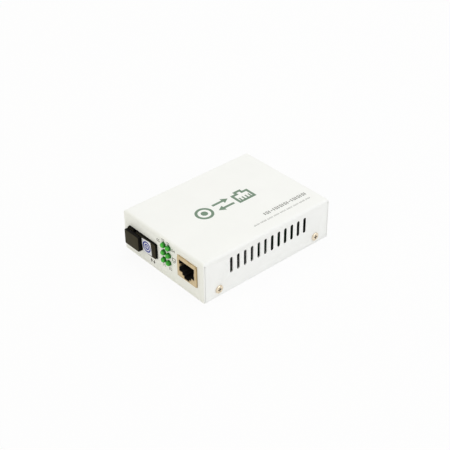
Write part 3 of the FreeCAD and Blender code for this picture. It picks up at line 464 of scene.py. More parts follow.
@dataclass(frozen=True)
class SolderMask(Finish):
    """Lacquer of a circuit board, lighter where copper tracks lie under it."""

    roughness: float = 0.3
    track: float = 1.9 * MM
    run: float = 7.5
    track_gap: float = 0.16
    copper_share: float = 0.12
    cloud: float = 6 * MM

    def dress(self, bench: FinishBench) -> None:
        """Build the nodes.

        Args:
            bench: The bench that gets them.
        """
        tracks = bench.add("TexBrick", {
            "Scale": 1.0, "Brick Width": self.run * self.track, "Row Height": self.track,
            "Mortar Size": self.track_gap * self.track, "Mortar Smooth": 0.1,
            "Vector": bench.place}, offset=0.37, offset_frequency=3).outputs["Fac"]
        plain = bench.ramp(bench.noise(self.cloud), self.shade, self.colour)
        copper = bench.blend(self.copper_share, plain, plain, "SCREEN")
        bench.set(Base_Color=bench.blend(tracks, plain, copper), Roughness=self.roughness,
                  Coat_Weight=0.4, Coat_Roughness=0.15)
        bench.relief(tracks, depth=0.035 * MM, strength=0.8)


CASE_WHITE = PowderCoat("case_white", "cover_paint", tone(246, 247, 243), tone(244, 245, 241))
# Painted shade for the case's inner faces.
INSIDE_PAINTED_SHADE = PowderCoat("inside_painted_shade", "cover_paint", tone(42, 47, 40), tone(35, 40, 33),
                         roughness=0.75)
BASE_WHITE = PowderCoat("base_white", "base_paint", tone(243, 243, 240), tone(240, 240, 236),
                        roughness=0.55)
PRINT_GREEN = Ink("print_green", "cover_paint", tone(112, 136, 115), tone(122, 146, 125))
PRINT_GREY = Ink("print_grey", "cover_paint", tone(96, 100, 90), tone(112, 115, 104))
PRINT_DARK = Ink("print_dark", "cover_paint", tone(46, 34, 20), tone(56, 44, 29))
STAMP_BLUE = Ink("stamp_blue", "sticker_paper", tone(22, 34, 148), tone(36, 50, 158))
LABEL_PAPER = Paper("label_paper", "sticker_paper", tone(232, 233, 238), tone(222, 224, 230))
SCREW_NICKEL = Metal("screw_nickel", "screw_nickel", tone(238, 226, 204), tone(208, 188, 156),
                     roughness=0.3, grain_along=Axis.X, patch=1.2 * MM)
# Painted shade for the dark of a screw's cross recess.
RECESS_PAINTED_SHADE = Metal("recess_painted_shade", "screw_nickel", tone(82, 62, 42), tone(58, 42, 27),
                    roughness=0.6, patch=0.4 * MM)
SHIELD_TIN = Metal("shield_tin", "shield_metal", tone(208, 188, 150), tone(190, 168, 128),
                   roughness=0.36)
BOARD_STEEL = Metal("board_steel", "board_screw_steel", tone(186, 186, 184), tone(150, 150, 150),
                    roughness=0.4)
POST_BRASS = Metal("post_brass", "post_brass", tone(205, 172, 104), tone(178, 144, 80),
                   roughness=0.3, grain_along=Axis.Z)
CAN_STEEL = Metal("can_steel", "can_steel", tone(196, 196, 194), tone(172, 172, 170),
                  roughness=0.28)
PIN_TIN = Metal("pin_tin", "pin_tin", tone(204, 203, 198), tone(172, 170, 164), roughness=0.35,
                grain_along=Axis.Z)
CONTACT_GOLD = Metal("contact_gold", "contact_gold", tone(222, 184, 96), tone(198, 158, 74),
                     roughness=0.25)
# The transceiver and the cap get a lighter tone on faces towards front or back as painted light.
OPTIC_BLACK = Moulding("optic_black", "optic_plastic", tone(15, 14, 11), tone(10, 9, 7),
                       roughness=0.55, specular=0.06, front_painted_light=tone(54, 50, 37))
CAP_BLACK = Moulding("cap_black", "cap_rubber", tone(16, 15, 11), tone(11, 10, 8), roughness=0.62,
                     grain=0.22 * MM, specular=0.08, front_painted_light=tone(62, 58, 44))
JACK_BLACK = Moulding("jack_black", "jack_plastic", tone(24, 24, 23), tone(18, 18, 18),
                      specular=0.3)
INLET_BLACK = Moulding("inlet_black", "inlet_plastic", tone(26, 26, 26), tone(19, 19, 19),
                       roughness=0.4)
LATCH_CREAM = Moulding("latch_cream", "latch_plastic", tone(222, 214, 190), tone(208, 200, 176))
HOLDER_BLACK = Moulding("holder_black", "holder_plastic", tone(30, 30, 29), tone(23, 23, 22))
EPOXY_BLACK = Moulding("epoxy_black", "package_black", tone(34, 35, 36), tone(26, 27, 28),
                       roughness=0.55)
SLEEVE_VINYL = Moulding("sleeve_vinyl", "capacitor_sleeve", tone(38, 48, 88), tone(30, 39, 76),
                        roughness=0.3)
CERAMIC_TAN = Moulding("ceramic_tan", "ceramic_chip", tone(176, 148, 108), tone(158, 130, 92),
                       roughness=0.4)
CERAMIC_WHITE = Moulding("ceramic_white", "sleeve_ceramic", tone(236, 234, 228),
                         tone(228, 226, 218), roughness=0.25)
# Lenses: lighter tip and darker sides as painted light and shade.
LAMP_GREEN = LensResin("lamp_green", "lamp_green", tone(82, 208, 62), tone(32, 142, 32))
BOARD_GREEN = SolderMask("board_green", "board_green", tone(24, 88, 52), tone(18, 72, 42))


# Modelling


def select_only(piece: Piece) -> None:
    """Make one object the only one selected, and the active one.

    Args:
        piece: The object.
    """
    bpy.ops.object.select_all(action="DESELECT")
    bpy.context.view_layer.objects.active = piece
    piece.select_set(True)


@contextmanager
def editing(piece: Piece, kind: str = "FACE") -> Iterator[None]:
    """Hold an object in edit mode, with all of it selected at first.

    Args:
        piece: The object.
        kind: What operators select: VERT, EDGE or FACE.

    Yields:
        Nothing, while the object is in edit mode.
    """
    select_only(piece)
    bpy.ops.object.mode_set(mode="EDIT")
    bpy.ops.mesh.select_mode(type=kind)
    bpy.ops.mesh.select_all(action="SELECT")
    try:
        yield
    finally:
        bpy.ops.object.mode_set(mode="OBJECT")


def face_outward() -> None:
    """Turn every face of the mesh in edit mode outward."""
    bpy.ops.mesh.select_all(action="SELECT")
    bpy.ops.mesh.normals_make_consistent(inside=False)


def pick_faces(piece: Piece, test: Callable[[Vector, Vector], bool]) -> None:
    """Select the faces that pass a test, while the object is in edit mode.

    Args:
        piece: The object.
        test: Takes a face's middle and its normal.
    """
    bpy.ops.mesh.select_all(action="DESELECT")
    bpy.ops.object.mode_set(mode="OBJECT")
    for face in piece.data.polygons:
        if test(face.center, face.normal):
            face.select = True
    bpy.ops.object.mode_set(mode="EDIT")


def placed(name: str, data: bpy.types.ID) -> Piece:
    """Put a mesh, a light or a camera into the scene as a new object.

    Args:
        name: The object's name.
        data: What the object shows.

    Returns:
        The object.
    """
    piece = bpy.data.objects.new(name, data)
    bpy.context.scene.collection.objects.link(piece)
    return piece


def settle(piece: Piece) -> None:
    """Put an object's place, turn and scale into its mesh."""
    select_only(piece)
    bpy.ops.object.transform_apply(location=True, rotation=True, scale=True)


def finish_modifier(piece: Piece, kind: str, **settings: object) -> None:
    """Add one modifier and apply it.

    Args:
        piece: The object.
        kind: The modifier's type.
        settings: Its settings.
    """
    select_only(piece)
    modifier = piece.modifiers.new(kind.lower(), kind)
    for key, setting in settings.items():
        setattr(modifier, key, setting)
    bpy.ops.object.modifier_apply(modifier=modifier.name)


def smooth(piece: Piece, degrees: float) -> None:
    """Shade a piece smooth, but for edges sharper than an angle."""
    select_only(piece)
    bpy.ops.object.shade_smooth_by_angle(angle=math.radians(degrees))


def soften_edges(piece: Piece, width: float, segments: int = 2,
                 degrees: float = 35.0) -> None:
    """Round a piece's sharp edges.

    Args:
        piece: The object.
        width: Width of the rounding.
        segments: Steps across it.
        degrees: Edges that turn by less stay as they are.
    """
    finish_modifier(piece, "BEVEL", width=width, segments=segments, limit_method="ANGLE",
                    angle_limit=math.radians(degrees), miter_outer="MITER_ARC",
                    harden_normals=False)


def deliver(piece: Piece, finish: Finish, node: str = "",
            body: Body = Body.CHASSIS) -> Piece:
    """Give a finished piece its material and its body, and hide the node that it replaces.

    Args:
        piece: The object.
        finish: Its finish, which it gets where it has none yet.
        node: CAD node that it replaces, if any.
        body: The body that it rides on.

    Returns:
        The object.
    """
    if not any(piece.data.materials):
        piece.data.materials.clear()
        piece.data.materials.append(finish.material())
    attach(piece, body.value)
    if node:
        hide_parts(node)
    log.info("%s: %d faces", piece.name, len(piece.data.polygons))
    return piece


def refine(node: str, finish: Finish, edge: float = 0.0,
           body: Body = Body.CHASSIS) -> Piece:
    """Replace a CAD node with a copy whose edges are rounded and whose curves shade smooth.

    Args:
        node: The node.
        finish: Its finish.
        edge: Width of the rounding, or 0 for none.
        body: The body that it rides on.

    Returns:
        The new piece.
    """
    piece = placed(node + "_dressed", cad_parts[node].data.copy())
    piece.data.materials.clear()
    with editing(piece, "VERT"):
        bpy.ops.mesh.customdata_custom_splitnormals_clear()
        bpy.ops.mesh.remove_doubles(threshold=WELD)
        bpy.ops.mesh.mark_sharp(clear=True)
        bpy.ops.mesh.dissolve_limited(angle_limit=math.radians(0.5))
    if edge:
        soften_edges(piece, edge)
    smooth(piece, degrees=32)
    return deliver(piece, finish, node, body)


def chain(name: str, points: Sequence[Vector]) -> Piece:
    """Draw a chain of edges: a plane is merged to one vertex, and that is extruded on.

    Args:
        name: The new object's name.
        points: The chain's points.

    Returns:
        The object.
    """
    bpy.ops.object.select_all(action="DESELECT")
    bpy.ops.mesh.primitive_plane_add(size=MM, location=points[0])
    piece = bpy.context.object
    piece.name = name
    settle(piece)
    with editing(piece, "VERT"):
        bpy.ops.mesh.merge(type="CENTER")
        for before, after in zip(points, points[1:]):
            bpy.ops.mesh.extrude_region_move(TRANSFORM_OT_translate={"value": after - before})
    return piece


def turned(name: str, outline: Sequence[Vector], centre: Vector, axis: Vector,
           steps: int = 40) -> Piece:
    """Turn an outline about an axis, as on a lathe.

    Args:
        name: The new object's name.
        outline: Points from axis to axis.
        centre: A point on the axis.
        axis: The axis.
        steps: Steps in a full turn.

    Returns:
        The object.
    """
    piece = chain(name, outline)
    with editing(piece, "VERT"):
        bpy.ops.mesh.spin(steps=steps, angle=math.tau, center=centre, axis=axis)
        bpy.ops.mesh.select_all(action="SELECT")
        bpy.ops.mesh.remove_doubles(threshold=WELD)
        face_outward()
    return piece


def joined(name: str, pieces: Sequence[Piece]) -> Piece:
    """Join several objects into one mesh.

    Args:
        name: The joined object's name.
        pieces: The objects.

    Returns:
        The joined object.
    """
    select_only(pieces[0])
    for other in pieces[1:]:
        other.select_set(True)
    bpy.ops.object.join()
    pieces[0].name = name
    return pieces[0]


def bar(left: float, low: float, right: float, high: float) -> Outline:
    """The outline of an upright rectangle."""
    return (left, low), (right, low), (right, high), (left, high)


def moved(outline: Outline, across: float = 0.0, above: float = 0.0,
          scale: float = 1.0) -> Outline:
    """An outline scaled about its origin, with half a turn below 0, and then shifted."""
    return tuple((across + scale * aside, above + scale * up) for aside, up in outline)


@dataclass(frozen=True)
class Figure:
    """A printed figure: its text, its middle on a panel and its height, in mm."""

    text: str
    across: float
    level: float
    height: float


@dataclass(frozen=True)
class Panel:
    """A flat place for print: its origin, the reading direction and letter-up direction."""

    origin: Vector
    along: Vector
    up: Vector

    @property
    def normal(self) -> Vector:
        """The direction that the panel faces."""
        return self.along.cross(self.up)

    def at(self, across: float, above: float, lift: float = 0.0) -> Vector:
        """The point in space of a place on the panel."""
        return self.origin + self.along * across + self.up * above + self.normal * lift

    def film(self, name: str, outline: Sequence[Point], stroke: float = 0.0,
             depth: float = INK_LIFT) -> Piece:
        """A raised film inside an outline, or along it.

        Args:
            name: The new object's name.
            outline: Points of the outline on the panel, anticlockwise.
            stroke: Width of the line, or 0 for a solid shape.
            depth: Thickness of the film.

        Returns:
            The object.
        """
        piece = chain(name, [self.at(*point) for point in outline])
        with editing(piece, "VERT"):
            bpy.ops.mesh.edge_face_add()
            bpy.ops.mesh.select_mode(type="FACE")
            if stroke:
                bpy.ops.mesh.inset(thickness=stroke)
                bpy.ops.mesh.delete(type="FACE")
            bpy.ops.mesh.select_all(action="SELECT")
            bpy.ops.mesh.extrude_region_move(
                TRANSFORM_OT_translate={"value": self.normal * depth})
            face_outward()
        return piece

    def ring(self, name: str, centre: Point, radius: float, stroke: float = 0.0,
             corners: int = 48) -> Piece:
        """A round film of ink: a ring, or a dot where no stroke is given.

        Args:
            name: The new object's name.
            centre: Its middle on the panel.
            radius: Its outer radius.
            stroke: Width of the line, or 0 for a dot.
            corners: Points round the edge.

        Returns:
            The object.
        """
        turns = [math.tau * step / corners for step in range(corners)]
        outline = [(radius * math.cos(turn), radius * math.sin(turn)) for turn in turns]
        return self.film(name, moved(outline, *centre), stroke)

    def write(self, figure: Figure) -> Piece:
        """Print a plain figure.

        Args:
            figure: The figure.

        Returns:
            The object.
        """
        bpy.ops.object.select_all(action="DESELECT")
        bpy.ops.object.text_add()
        piece = bpy.context.object
        piece.name = "front_figure_" + figure.text
        piece.data.body = figure.text
        piece.data.size = figure.height * MM * FONT_SIZE_SHARE
        piece.data.align_x = "CENTER"
        piece.data.align_y = "CENTER"
        piece.data.extrude = INK_LIFT
        piece.data.resolution_u = 3
        bpy.ops.object.convert(target="MESH")
        turn = Matrix((self.along, self.up, self.normal)).transposed().to_4x4()
        middle = self.at(figure.across * MM, figure.level * MM)
        piece.matrix_world = Matrix.Translation(middle) @ turn
        settle(piece)
        with editing(piece, "VERT"):
            bpy.ops.mesh.remove_doubles(threshold=WELD)
        return piece


# Sub-assemblies


@dataclass
class PaintedCase:
    """The folded cover and the base plate, with their screws."""

    paint_edge: float = 0.06 * MM
    skin: Triple = (0.1 * MM, 1.5 * MM, 0.45 * MM)
    head_height: float = 0.75 * MM
    crown: float = 0.4 * MM
    crown_width: float = 1.1 * MM
    crown_steps: int = 6
    seat_edge: float = 0.08 * MM
    shank_radius: float = 1.5 * MM
    shank_length: float = 4 * MM
    tip_length: float = 0.4 * MM
    tip_share: float = 0.85
    turn_steps: int = 36
    recess_half: float = 0.34 * MM
    recess_arm: float = 1.45 * MM
    recess_depth: float = 0.6 * MM
    recess_taper: float = 0.75
    recess_edge: float = 0.05 * MM
    cut_over: float = 0.3 * MM
    inward: float = -0.9

    def build(self) -> None:
        """Build every piece of the case."""
        cover = refine("top_cover", CASE_WHITE, self.paint_edge)
        base = refine("base_plate", BASE_WHITE, self.paint_edge)
        for shell in (cover, base):
            self.paint_inside_shade(shell)
        self.build_screws()

    def paint_inside_shade(self, shell: Piece) -> None:
        """Give a shell's inner faces a dark grey as painted shade, standing in for the shade
        inside the closed case.

        Args:
            shell: The cover or the base plate.
        """
        low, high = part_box("top_cover")
        middle = (low + high) / 2
        reach = (high - low) / 2 - Vector(self.skin)
        # Painted shade: the inner faces get a dark grey in place of the white paint.
        shell.data.materials.append(INSIDE_PAINTED_SHADE.material())
        with editing(shell):
            pick_faces(shell, lambda spot, normal: normal.dot(middle - spot) > 0
                       and all(abs(spot[axis] - middle[axis]) < reach[axis] for axis in range(3)))
            shell.active_material_index = 1
            bpy.ops.object.material_slot_assign()

    def build_screws(self) -> None:
        """Turn one pan head, cut its cross and set a copy at each corner."""
        low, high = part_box("cover_screws")
        radius = (high.z - low.z) / 2
        middle = Vector((0, high.y - radius, (low.z + high.z) / 2))
        head = self.pan_head(middle, radius, high.x - self.head_height)
        heads = [head]
        for side, end in ((1, -1), (-1, 1), (-1, -1)):
            copy = placed("cover_screw_copy", head.data.copy())
            turn = Matrix.Identity(4) if side > 0 else Matrix.Rotation(math.pi, 4, "Z")
            copy.matrix_world = Matrix.Translation((0, middle.y * (end - side), 0)) @ turn
            settle(copy)
            heads.append(copy)
        screws = joined("cover_screws_dressed", heads)
        smooth(screws, degrees=30)
        deliver(screws, SCREW_NICKEL, "cover_screws")

    def pan_head(self, middle: Vector, radius: float, seat: float) -> Piece:
        """One pan head on its shank, at the rear right corner.

        Args:
            middle: The screw's axis, at X zero.
            radius: The head's radius.
            seat: X of the head's seat on the cover.

        Returns:
            The object.
        """
        top = seat + self.head_height
        end = seat - self.shank_length
        outline = [(end, 0.0), (end, self.shank_radius * self.tip_share),
                   (end + self.tip_length, self.shank_radius), (seat, self.shank_radius),
                   (seat, radius - self.seat_edge), (seat + self.seat_edge, radius)]
        for step in range(self.crown_steps + 1):
            turn = math.radians(90 * step / self.crown_steps)
            outline.append((top - self.crown + self.crown * math.sin(turn),
                            radius - self.crown_width * (1 - math.cos(turn))))
        outline.append((top, 0.0))
        points = [middle + Vector((along, out, 0)) for along, out in outline]
        head = turned("cover_screw", points, middle, Vector((1, 0, 0)), self.turn_steps)
        cutter = self.cross_cutter(middle, top)
        head.data.materials.append(SCREW_NICKEL.material())
        # The recess faces get a dark finish as painted shade.
        cutter.data.materials.append(RECESS_PAINTED_SHADE.material())
        finish_modifier(head, "BOOLEAN", operation="DIFFERENCE", object=cutter,
                        solver="EXACT", material_mode="TRANSFER")
        bpy.data.objects.remove(cutter)
        soften_edges(head, self.recess_edge, segments=1, degrees=40)
        return head

    def cross_cutter(self, middle: Vector, top: float) -> Piece:
        """A tapered cross that cuts a screw's recess.

        Args:
            middle: The screw's axis, at X zero.
            top: X of the head's crown.

        Returns:
            The object.
        """
        bpy.ops.object.select_all(action="DESELECT")
        reach = self.recess_depth + self.cut_over
        centre = middle + Vector((top - self.recess_depth + reach / 2, 0, 0))
        bpy.ops.mesh.primitive_cube_add(size=1, location=centre,
                                        scale=(reach, 2 * self.recess_half, 2 * self.recess_half))
        cutter = bpy.context.object
        settle(cutter)
        arm = self.recess_arm - self.recess_half
        with editing(cutter):
            for way in (Vector((0, 1, 0)), Vector((0, -1, 0)), Vector((0, 0, 1)),
                        Vector((0, 0, -1))):
                core = centre + way * self.recess_half
                pick_faces(cutter, lambda spot, normal: (spot - core).length < WELD)
                bpy.ops.mesh.extrude_region_move(TRANSFORM_OT_translate={"value": way * arm})
            pick_faces(cutter, lambda spot, normal: normal.x < self.inward)
            share = self.recess_taper
            bpy.ops.transform.resize(value=(1, share, share), center_override=middle)
        return cutter


@dataclass
class TopPrint:
    """The printed mark on the cover and the two fine bands beside it. Outlines are in mm."""

    stroke: float = 1.7 * MM
    mark_across: float = 1.25 * MM
    ring_along: float = -15.7 * MM
    ring_radius: float = 5.6 * MM
    core_radius: float = 2.1 * MM
    arrow_along: float = -1.7 * MM
    arrow_gap: float = 2.9 * MM
    arrow: Outline = ((-5.8, -0.85), (1.7575, -0.85), (1.7575, -2.45), (5.8, 0.0),
                      (1.7575, 2.45), (1.7575, 0.85), (-5.8, 0.85))
    socket_along: float = 12.7 * MM
    socket: Outline = ((-6.3, -5.5), (6.3, -5.5), (6.3, 3.4), (2.835, 3.4), (2.835, 5.5),
                       (-2.835, 5.5), (-2.835, 3.4), (-6.3, 3.4))
    contacts: tuple[float, ...] = (-3.45 * MM, -1.15 * MM, 1.15 * MM, 3.45 * MM)
    contact: Outline = bar(-0.5, -4.0, 0.5, -1.1)
    group: int = 8
    cells: int = 19
    dash_place: int = 3
    cell_pitch: float = 1.74 * MM
    cells_start: float = 8.59 * MM
    cells_across: float = 21.6 * MM
    box: Outline = bar(0, -1.2, 1.36, 1.2)
    box_line: float = 0.4 * MM
    post: Outline = bar(0.25, -1.2, 0.85, 1.2)
    dash: Outline = bar(0, -0.26, 1.36, 0.26)
    ticks: int = 70
    gap_place: int = 7
    short_every: int = 3
    tick_pitch: float = 0.62 * MM
    ticks_start: float = -3.2 * MM
    ticks_across: float = 26.45 * MM
    long_tick: Outline = bar(0, -0.625, 0.2, 0.625)
    short_tick: Outline = bar(0, -0.625, 0.2, 0.375)
    top: Panel = field(init=False)

    def __post_init__(self) -> None:
        """Find the cover's top face."""
        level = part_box("top_cover")[1].z
        self.top = Panel(Vector((0, 0, level)), Vector((0, 1, 0)), Vector((-1, 0, 0)))

    def build(self) -> None:
        """Build every printed piece on the top."""
        self.build_mark()
        self.build_cells()
        self.build_ticks()

    def build_mark(self) -> None:
        """A ring round a dot, two arrows that pass each other, and a socket's outline."""
        middle = self.mark_across
        place = (self.ring_along, middle)
        pieces = [self.top.ring("ring", place, self.ring_radius, self.stroke),
                  self.top.ring("core", place, self.core_radius)]
        for way in (1, -1):
            outline = moved(self.arrow, self.arrow_along, middle + way * self.arrow_gap,
                            way * MM)
            pieces.append(self.top.film("arrow", outline))
        outline = moved(self.socket, self.socket_along, middle, MM)
        pieces.append(self.top.film("socket", outline, self.stroke))
        for aside in self.contacts:
            outline = moved(self.contact, self.socket_along + aside, middle, MM)
            pieces.append(self.top.film("contact", outline))
        deliver(joined("top_mark", pieces), PRINT_GREEN)

    def build_cells(self) -> None:
        """A band of small boxes, posts and dashes, in groups of eight."""
        pieces = []
        for index in range(self.cells):
            shape = self.box if index % 2 else self.post
            if index % self.group == self.dash_place:
                shape = self.dash
            outline = moved(shape, self.cells_start + index * self.cell_pitch,
                            -self.cells_across, MM)
            line = self.box_line if shape is self.box else 0.0
            pieces.append(self.top.film("cell", outline, line))
        deliver(joined("top_band", pieces), PRINT_GREY)

    def build_ticks(self) -> None:
        """A fine band of short strokes with a gap after every seventh."""
        pieces = []
        for index in range(self.ticks):
            if index % self.group == self.gap_place:
                continue
            shape = self.long_tick if index % self.short_every else self.short_tick
            outline = moved(shape, self.ticks_start + index * self.tick_pitch,
                            -self.ticks_across, MM)
            pieces.append(self.top.film("tick", outline))
        deliver(joined("top_fine_band", pieces), PRINT_GREY)


@dataclass
class FrontPrint:
    """Small plain figures and signs beside the lamps and the ports. Outlines are in mm."""

    figures: tuple[Figure, ...] = (
        Figure("05", -3.6, 21.4, 2.1), Figure("03", 0.6, 23.75, 1.7),
        Figure("06", 5.2, 23.72, 1.7), Figure("04", 9.4, 21.0, 2.1),
        Figure("01", 1.0, 7.3, 2.1), Figure("02", 6.5, 7.4, 2.1))
    box: Outline = bar(8.3, 14.3, 11.3, 16.5)
    box_line: float = 0.4 * MM
    foot: Outline = bar(8.9, 13.4, 10.7, 13.8)
    arrow: Outline = ((-0.36, -1.14), (0.36, -1.14), (0.36, 0.0), (1.14, 0.0), (0.0, 1.2),
                      (-1.14, 0.0), (-0.36, 0.0))
    arrow_level: float = 4.0 * MM
    arrow_places: tuple[Point, ...] = ((-10.7 * MM, MM), (-8.3 * MM, -MM))
    panel: Panel = field(init=False)

    def __post_init__(self) -> None:
        """Find the front panel."""
        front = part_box("top_cover")[0].y
        self.panel = Panel(Vector((0, front, 0)), Vector((1, 0, 0)), Vector((0, 0, 1)))

    def build(self) -> None:
        """Build every printed piece on the front."""
        for figure in self.figures:
            deliver(self.panel.write(figure), PRINT_DARK)
        self.build_signs()

    def build_signs(self) -> None:
        """A box on a foot beside the lamps, and two arrows under the fibre port."""
        pieces = [self.panel.film("box", moved(self.box, scale=MM), self.box_line),
                  self.panel.film("foot", moved(self.foot, scale=MM))]
        for across, scale in self.arrow_places:
            outline = moved(self.arrow, across, self.arrow_level, scale)
            pieces.append(self.panel.film("arrow", outline))
        deliver(joined("front_signs", pieces), PRINT_DARK)


@dataclass
class DataSocket:
    """The shielded eight-way socket."""

    sheet_edge: float = 0.035 * MM
    moulding_edge: float = 0.08 * MM
    contact_edge: float = 0.06 * MM

    def build(self) -> None:
        """Build every piece of the socket."""
        refine("ethernet_jack_shield", SHIELD_TIN, self.sheet_edge)
        refine("ethernet_jack_housing", JACK_BLACK, self.moulding_edge)
        refine("ethernet_jack_carrier", JACK_BLACK)
        refine("ethernet_jack_contacts", CONTACT_GOLD, self.contact_edge)


@dataclass
class FibrePort:
    """The optical transceiver, its dust cap and the sticker on its face."""

    moulding_edge: float = 0.16 * MM
    cap_edge: float = 0.14 * MM
    latch_edge: float = 0.06 * MM
    can_edge: float = 0.1 * MM
    paper: float = 0.09 * MM
    sticker_half: Point = (4.0 * MM, 4.4 * MM)
    sticker_turn: float = 5.5
    corner: float = 0.5 * MM
    corner_steps: int = 3
    stamp_radius: float = 3.5 * MM
    stamp_line: float = 0.82 * MM
    inner_radius: float = 1.96 * MM
    inner_line: float = 0.78 * MM
    stamp_core: Outline = bar(-0.3, -0.9, 0.3, 0.9)

    def build(self) -> None:
        """Build every piece of the fibre port."""
        refine("transceiver_housing", OPTIC_BLACK, self.moulding_edge)
        refine("dust_cap", CAP_BLACK, self.cap_edge, Body.CAP)
        refine("fibre_port_latch", LATCH_CREAM, self.latch_edge)
        refine("alignment_sleeve", CERAMIC_WHITE)
        refine("optical_subassembly", CAN_STEEL, self.can_edge)
        refine("transceiver_board", BOARD_GREEN)
        refine("transceiver_pins", PIN_TIN)
        self.build_sticker()

    def build_sticker(self) -> None:
        """Cut the sticker from a sheet, round its corners and print a stamp on it."""
        low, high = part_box("inspection_sticker")
        middle = (low + high) / 2
        turn = math.radians(self.sticker_turn)
        along = Vector((math.cos(turn), 0, math.sin(turn)))
        up = Vector((-math.sin(turn), 0, math.cos(turn)))
        back = Panel(Vector((middle.x, high.y, middle.z)), along, up)
        half_width, half_height = (half - self.corner for half in self.sticker_half)
        outline = []
        for across, above, first in ((1, -1, 270), (1, 1, 0), (-1, 1, 90), (-1, -1, 180)):
            for step in range(self.corner_steps + 1):
                angle = math.radians(first + 90 * step / self.corner_steps)
                outline.append((across * half_width + self.corner * math.cos(angle),
                                above * half_height + self.corner * math.sin(angle)))
        sticker = back.film("sticker_paper", outline, depth=self.paper)
        deliver(sticker, LABEL_PAPER, "inspection_sticker")
        self.build_stamp(Panel(back.at(0, 0, self.paper), along, up))

    def build_stamp(self, face: Panel) -> None:
        """Print the round stamp: two rings round a short stroke.

        Args:
            face: The sticker's front.
        """
        stamp = joined("sticker_stamp", [
            face.ring("outer", (0, 0), self.stamp_radius, self.stamp_line),
            face.ring("inner", (0, 0), self.inner_radius, self.inner_line, corners=32),
            face.film("core", moved(self.stamp_core, scale=MM))])
        deliver(stamp, STAMP_BLUE)


@dataclass
class LampPanel:
    """Six round lamps in their holder."""

    count: int = 6
    dome_steps: int = 10
    back_bevel: float = 0.15 * MM
    holder_edge: float = 0.08 * MM

    def build(self) -> None:
        """Build the lenses and dress the holder and the leads."""
        for number in range(1, self.count + 1):
            self.build_lens(number)
        refine("lamp_holder", HOLDER_BLACK, self.holder_edge)
        refine("lamp_leads", PIN_TIN)

    def build_lens(self, number: int) -> None:
        """Turn one lens with a round dome.

        Args:
            number: The lamp's number.
        """
        node = "status_lamp_%d" % number
        low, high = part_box(node)
        radius = (high.x - low.x) / 2
        middle = Vector(((low.x + high.x) / 2, 0, (low.z + high.z) / 2))
        outline = [(high.y, 0.0), (high.y, radius - self.back_bevel),
                   (high.y - self.back_bevel, radius)]
        for step in range(self.dome_steps + 1):
            turn = math.radians(90 * step / self.dome_steps)
            outline.append((low.y + radius * (1 - math.sin(turn)), radius * math.cos(turn)))
        points = [middle + Vector((out, along, 0)) for along, out in outline]
        lens = turned("lamp_lens_%d" % number, points, middle, Vector((0, 1, 0)))
        smooth(lens, degrees=40)
        deliver(lens, LAMP_GREEN, node)


@dataclass
class PowerInlet:
    """The round DC inlet in the rear panel."""

    edge: float = 0.12 * MM
    pin_edge: float = 0.15 * MM

    def build(self) -> None:
        """Dress the inlet."""
        refine("dc_inlet_body", INLET_BLACK, self.edge)
        refine("dc_inlet_pin", PIN_TIN, self.pin_edge)
        refine("dc_inlet_terminals", PIN_TIN)


@dataclass
class BoardParts:
    """The circuit board, what holds it and what is soldered to it."""

    edge: float = 0.1 * MM
    can_edge: float = 0.3 * MM
    chip_edge: float = 0.06 * MM

    def build(self) -> None:
        """Dress every piece on and under the board."""
        refine("circuit_board", BOARD_GREEN)
        refine("board_posts", POST_BRASS, self.edge)
        refine("board_screws", BOARD_STEEL, self.edge)
        refine("media_controller_chip", EPOXY_BLACK, self.edge)
        refine("controller_leads", PIN_TIN)
        refine("isolation_transformer", EPOXY_BLACK, self.edge)
        refine("transformer_leads", PIN_TIN)
        refine("crystal_can", CAN_STEEL, self.edge)
        refine("bulk_capacitors", SLEEVE_VINYL, self.can_edge)
        refine("power_inductor", EPOXY_BLACK, self.edge)
        refine("voltage_regulator", EPOXY_BLACK, self.edge)
        refine("chip_components", CERAMIC_TAN, self.chip_edge)


# Studio


@dataclass(frozen=True)
class SoftLamp:
    """A square soft lamp that faces the object: its place, side, power in watts and colour."""

    name: str
    place: Triple
    size: float
    power: float
    colour: Colour

    def build(self) -> None:
        """Hang the lamp."""
        data = bpy.data.lights.new(self.name, "AREA")
        data.size = self.size
        data.energy = self.power
        data.color = self.colour
        lamp = placed(self.name, data)
        lamp.location = self.place
        lamp.rotation_mode = "QUATERNION"
        lamp.rotation_quaternion = Vector(self.place).to_track_quat("Z", "Y")


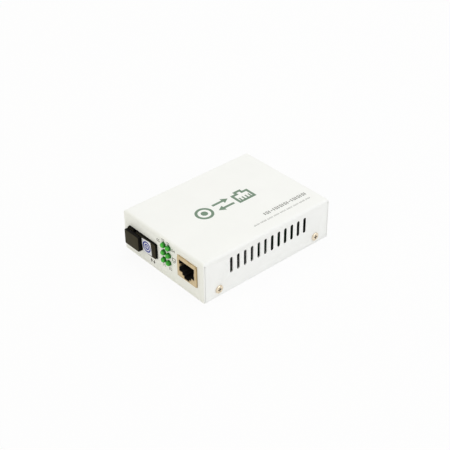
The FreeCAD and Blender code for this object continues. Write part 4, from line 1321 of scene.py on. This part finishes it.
@dataclass
class Studio:
    """The pale floor, the soft lights and the camera."""

    azimuth: float = 49.28
    elevation: float = 34.98
    roll: float = -0.72
    distance: float = 591.45 * MM
    lens: float = 82.34
    sensor: float = 36.0
    middle: float = 13 * MM
    aside: float = 1.23 * MM
    below: float = 1.19 * MM
    floor_size: float = 9.0
    floor_colour: Colour = (0.86, 0.86, 0.85)
    floor_glow: float = 0.91
    sky: float = 0.62
    lamps: tuple[SoftLamp, ...] = (
        SoftLamp("overhead", (-0.22, 0.42, 1.15), 1.0, 4.3, (1.0, 0.99, 1.0)),
        SoftLamp("right_side", (1.9, 0.5, 0.9), 1.4, 13.2, (0.94, 0.935, 1.0)),
        SoftLamp("front_fill", (-0.5, -1.9, 0.8), 1.2, 8.1, (1.0, 0.945, 0.68)))

    def build(self) -> None:
        """Build the floor, the world, the lamps and the camera."""
        self.build_floor()
        self.build_world()
        for lamp in self.lamps:
            lamp.build()
        self.build_camera()

    def build_floor(self) -> None:
        """A pale floor that looks white and still takes the object's shadow."""
        bpy.ops.object.select_all(action="DESELECT")
        bpy.ops.mesh.primitive_plane_add(size=self.floor_size, location=(0, 0, CAD_BOX[0].z))
        floor = bpy.context.object
        floor.name = "floor"
        settle(floor)
        material = bpy.data.materials.new("floor_white")
        material.use_nodes = True
        material.node_tree.nodes.clear()
        bench = NodeBench(material.node_tree)
        board = bench.add("BsdfDiffuse", {"Color": (*self.floor_colour, 1)}).outputs[0]
        glow = bench.add("Emission", {"Strength": 1.0}).outputs[0]
        share = bench.add("Math", {0: bench.seen_directly(), 1: self.floor_glow},
                          operation="MULTIPLY").outputs[0]
        both = bench.add("MixShader", {"Fac": share, 1: board, 2: glow}).outputs[0]
        bench.add("OutputMaterial", {"Surface": both})
        floor.data.materials.append(material)

    def build_world(self) -> None:
        """An even white sky, brighter where it is seen than where it lights."""
        world = bpy.data.worlds.new("soft_white")
        world.use_nodes = True
        bpy.context.scene.world = world
        bench = NodeBench(world.node_tree)
        level = bench.rescale(bench.seen_directly(), 0.0, 1.0, self.sky, 1.0)
        bench.feed(world.node_tree.nodes["Background"],
                   {"Color": (1, 1, 1, 1), "Strength": level})

    def build_camera(self) -> None:
        """A long lens that looks down on the front right corner."""
        turn, rise = math.radians(self.azimuth), math.radians(self.elevation)
        back = Vector((math.sin(turn) * math.cos(rise), -math.cos(turn) * math.cos(rise),
                       math.sin(rise)))
        right = (-back).cross(Vector((0, 0, 1))).normalized()
        up = right.cross(-back)
        tilt = math.radians(self.roll)
        level = right * math.cos(tilt) + up * math.sin(tilt)
        upright = up * math.cos(tilt) - right * math.sin(tilt)
        data = bpy.data.cameras.new("camera")
        data.lens = self.lens
        data.sensor_width = self.sensor
        data.clip_start = 10 * MM
        camera = placed("camera", data)
        place = (Vector((0, 0, self.middle)) + back * self.distance - level * self.aside
                 - upright * self.below)
        turned_to = Matrix((level, upright, back)).transposed().to_4x4()
        camera.matrix_world = Matrix.Translation(place) @ turned_to
        bpy.context.scene.camera = camera
        bpy.context.scene.view_settings.view_transform = "Standard"


def main() -> None:
    """Build the studio and dress every sub-assembly in order."""
    logging.basicConfig(level=logging.INFO, format="%(message)s")
    for part in (Studio(), PaintedCase(), TopPrint(), FrontPrint(), DataSocket(), FibrePort(),
                 LampPanel(), PowerInlet(), BoardParts()):
        log.info("building %s", type(part).__name__)
        part.build()


if __name__ == "__main__":
    main()
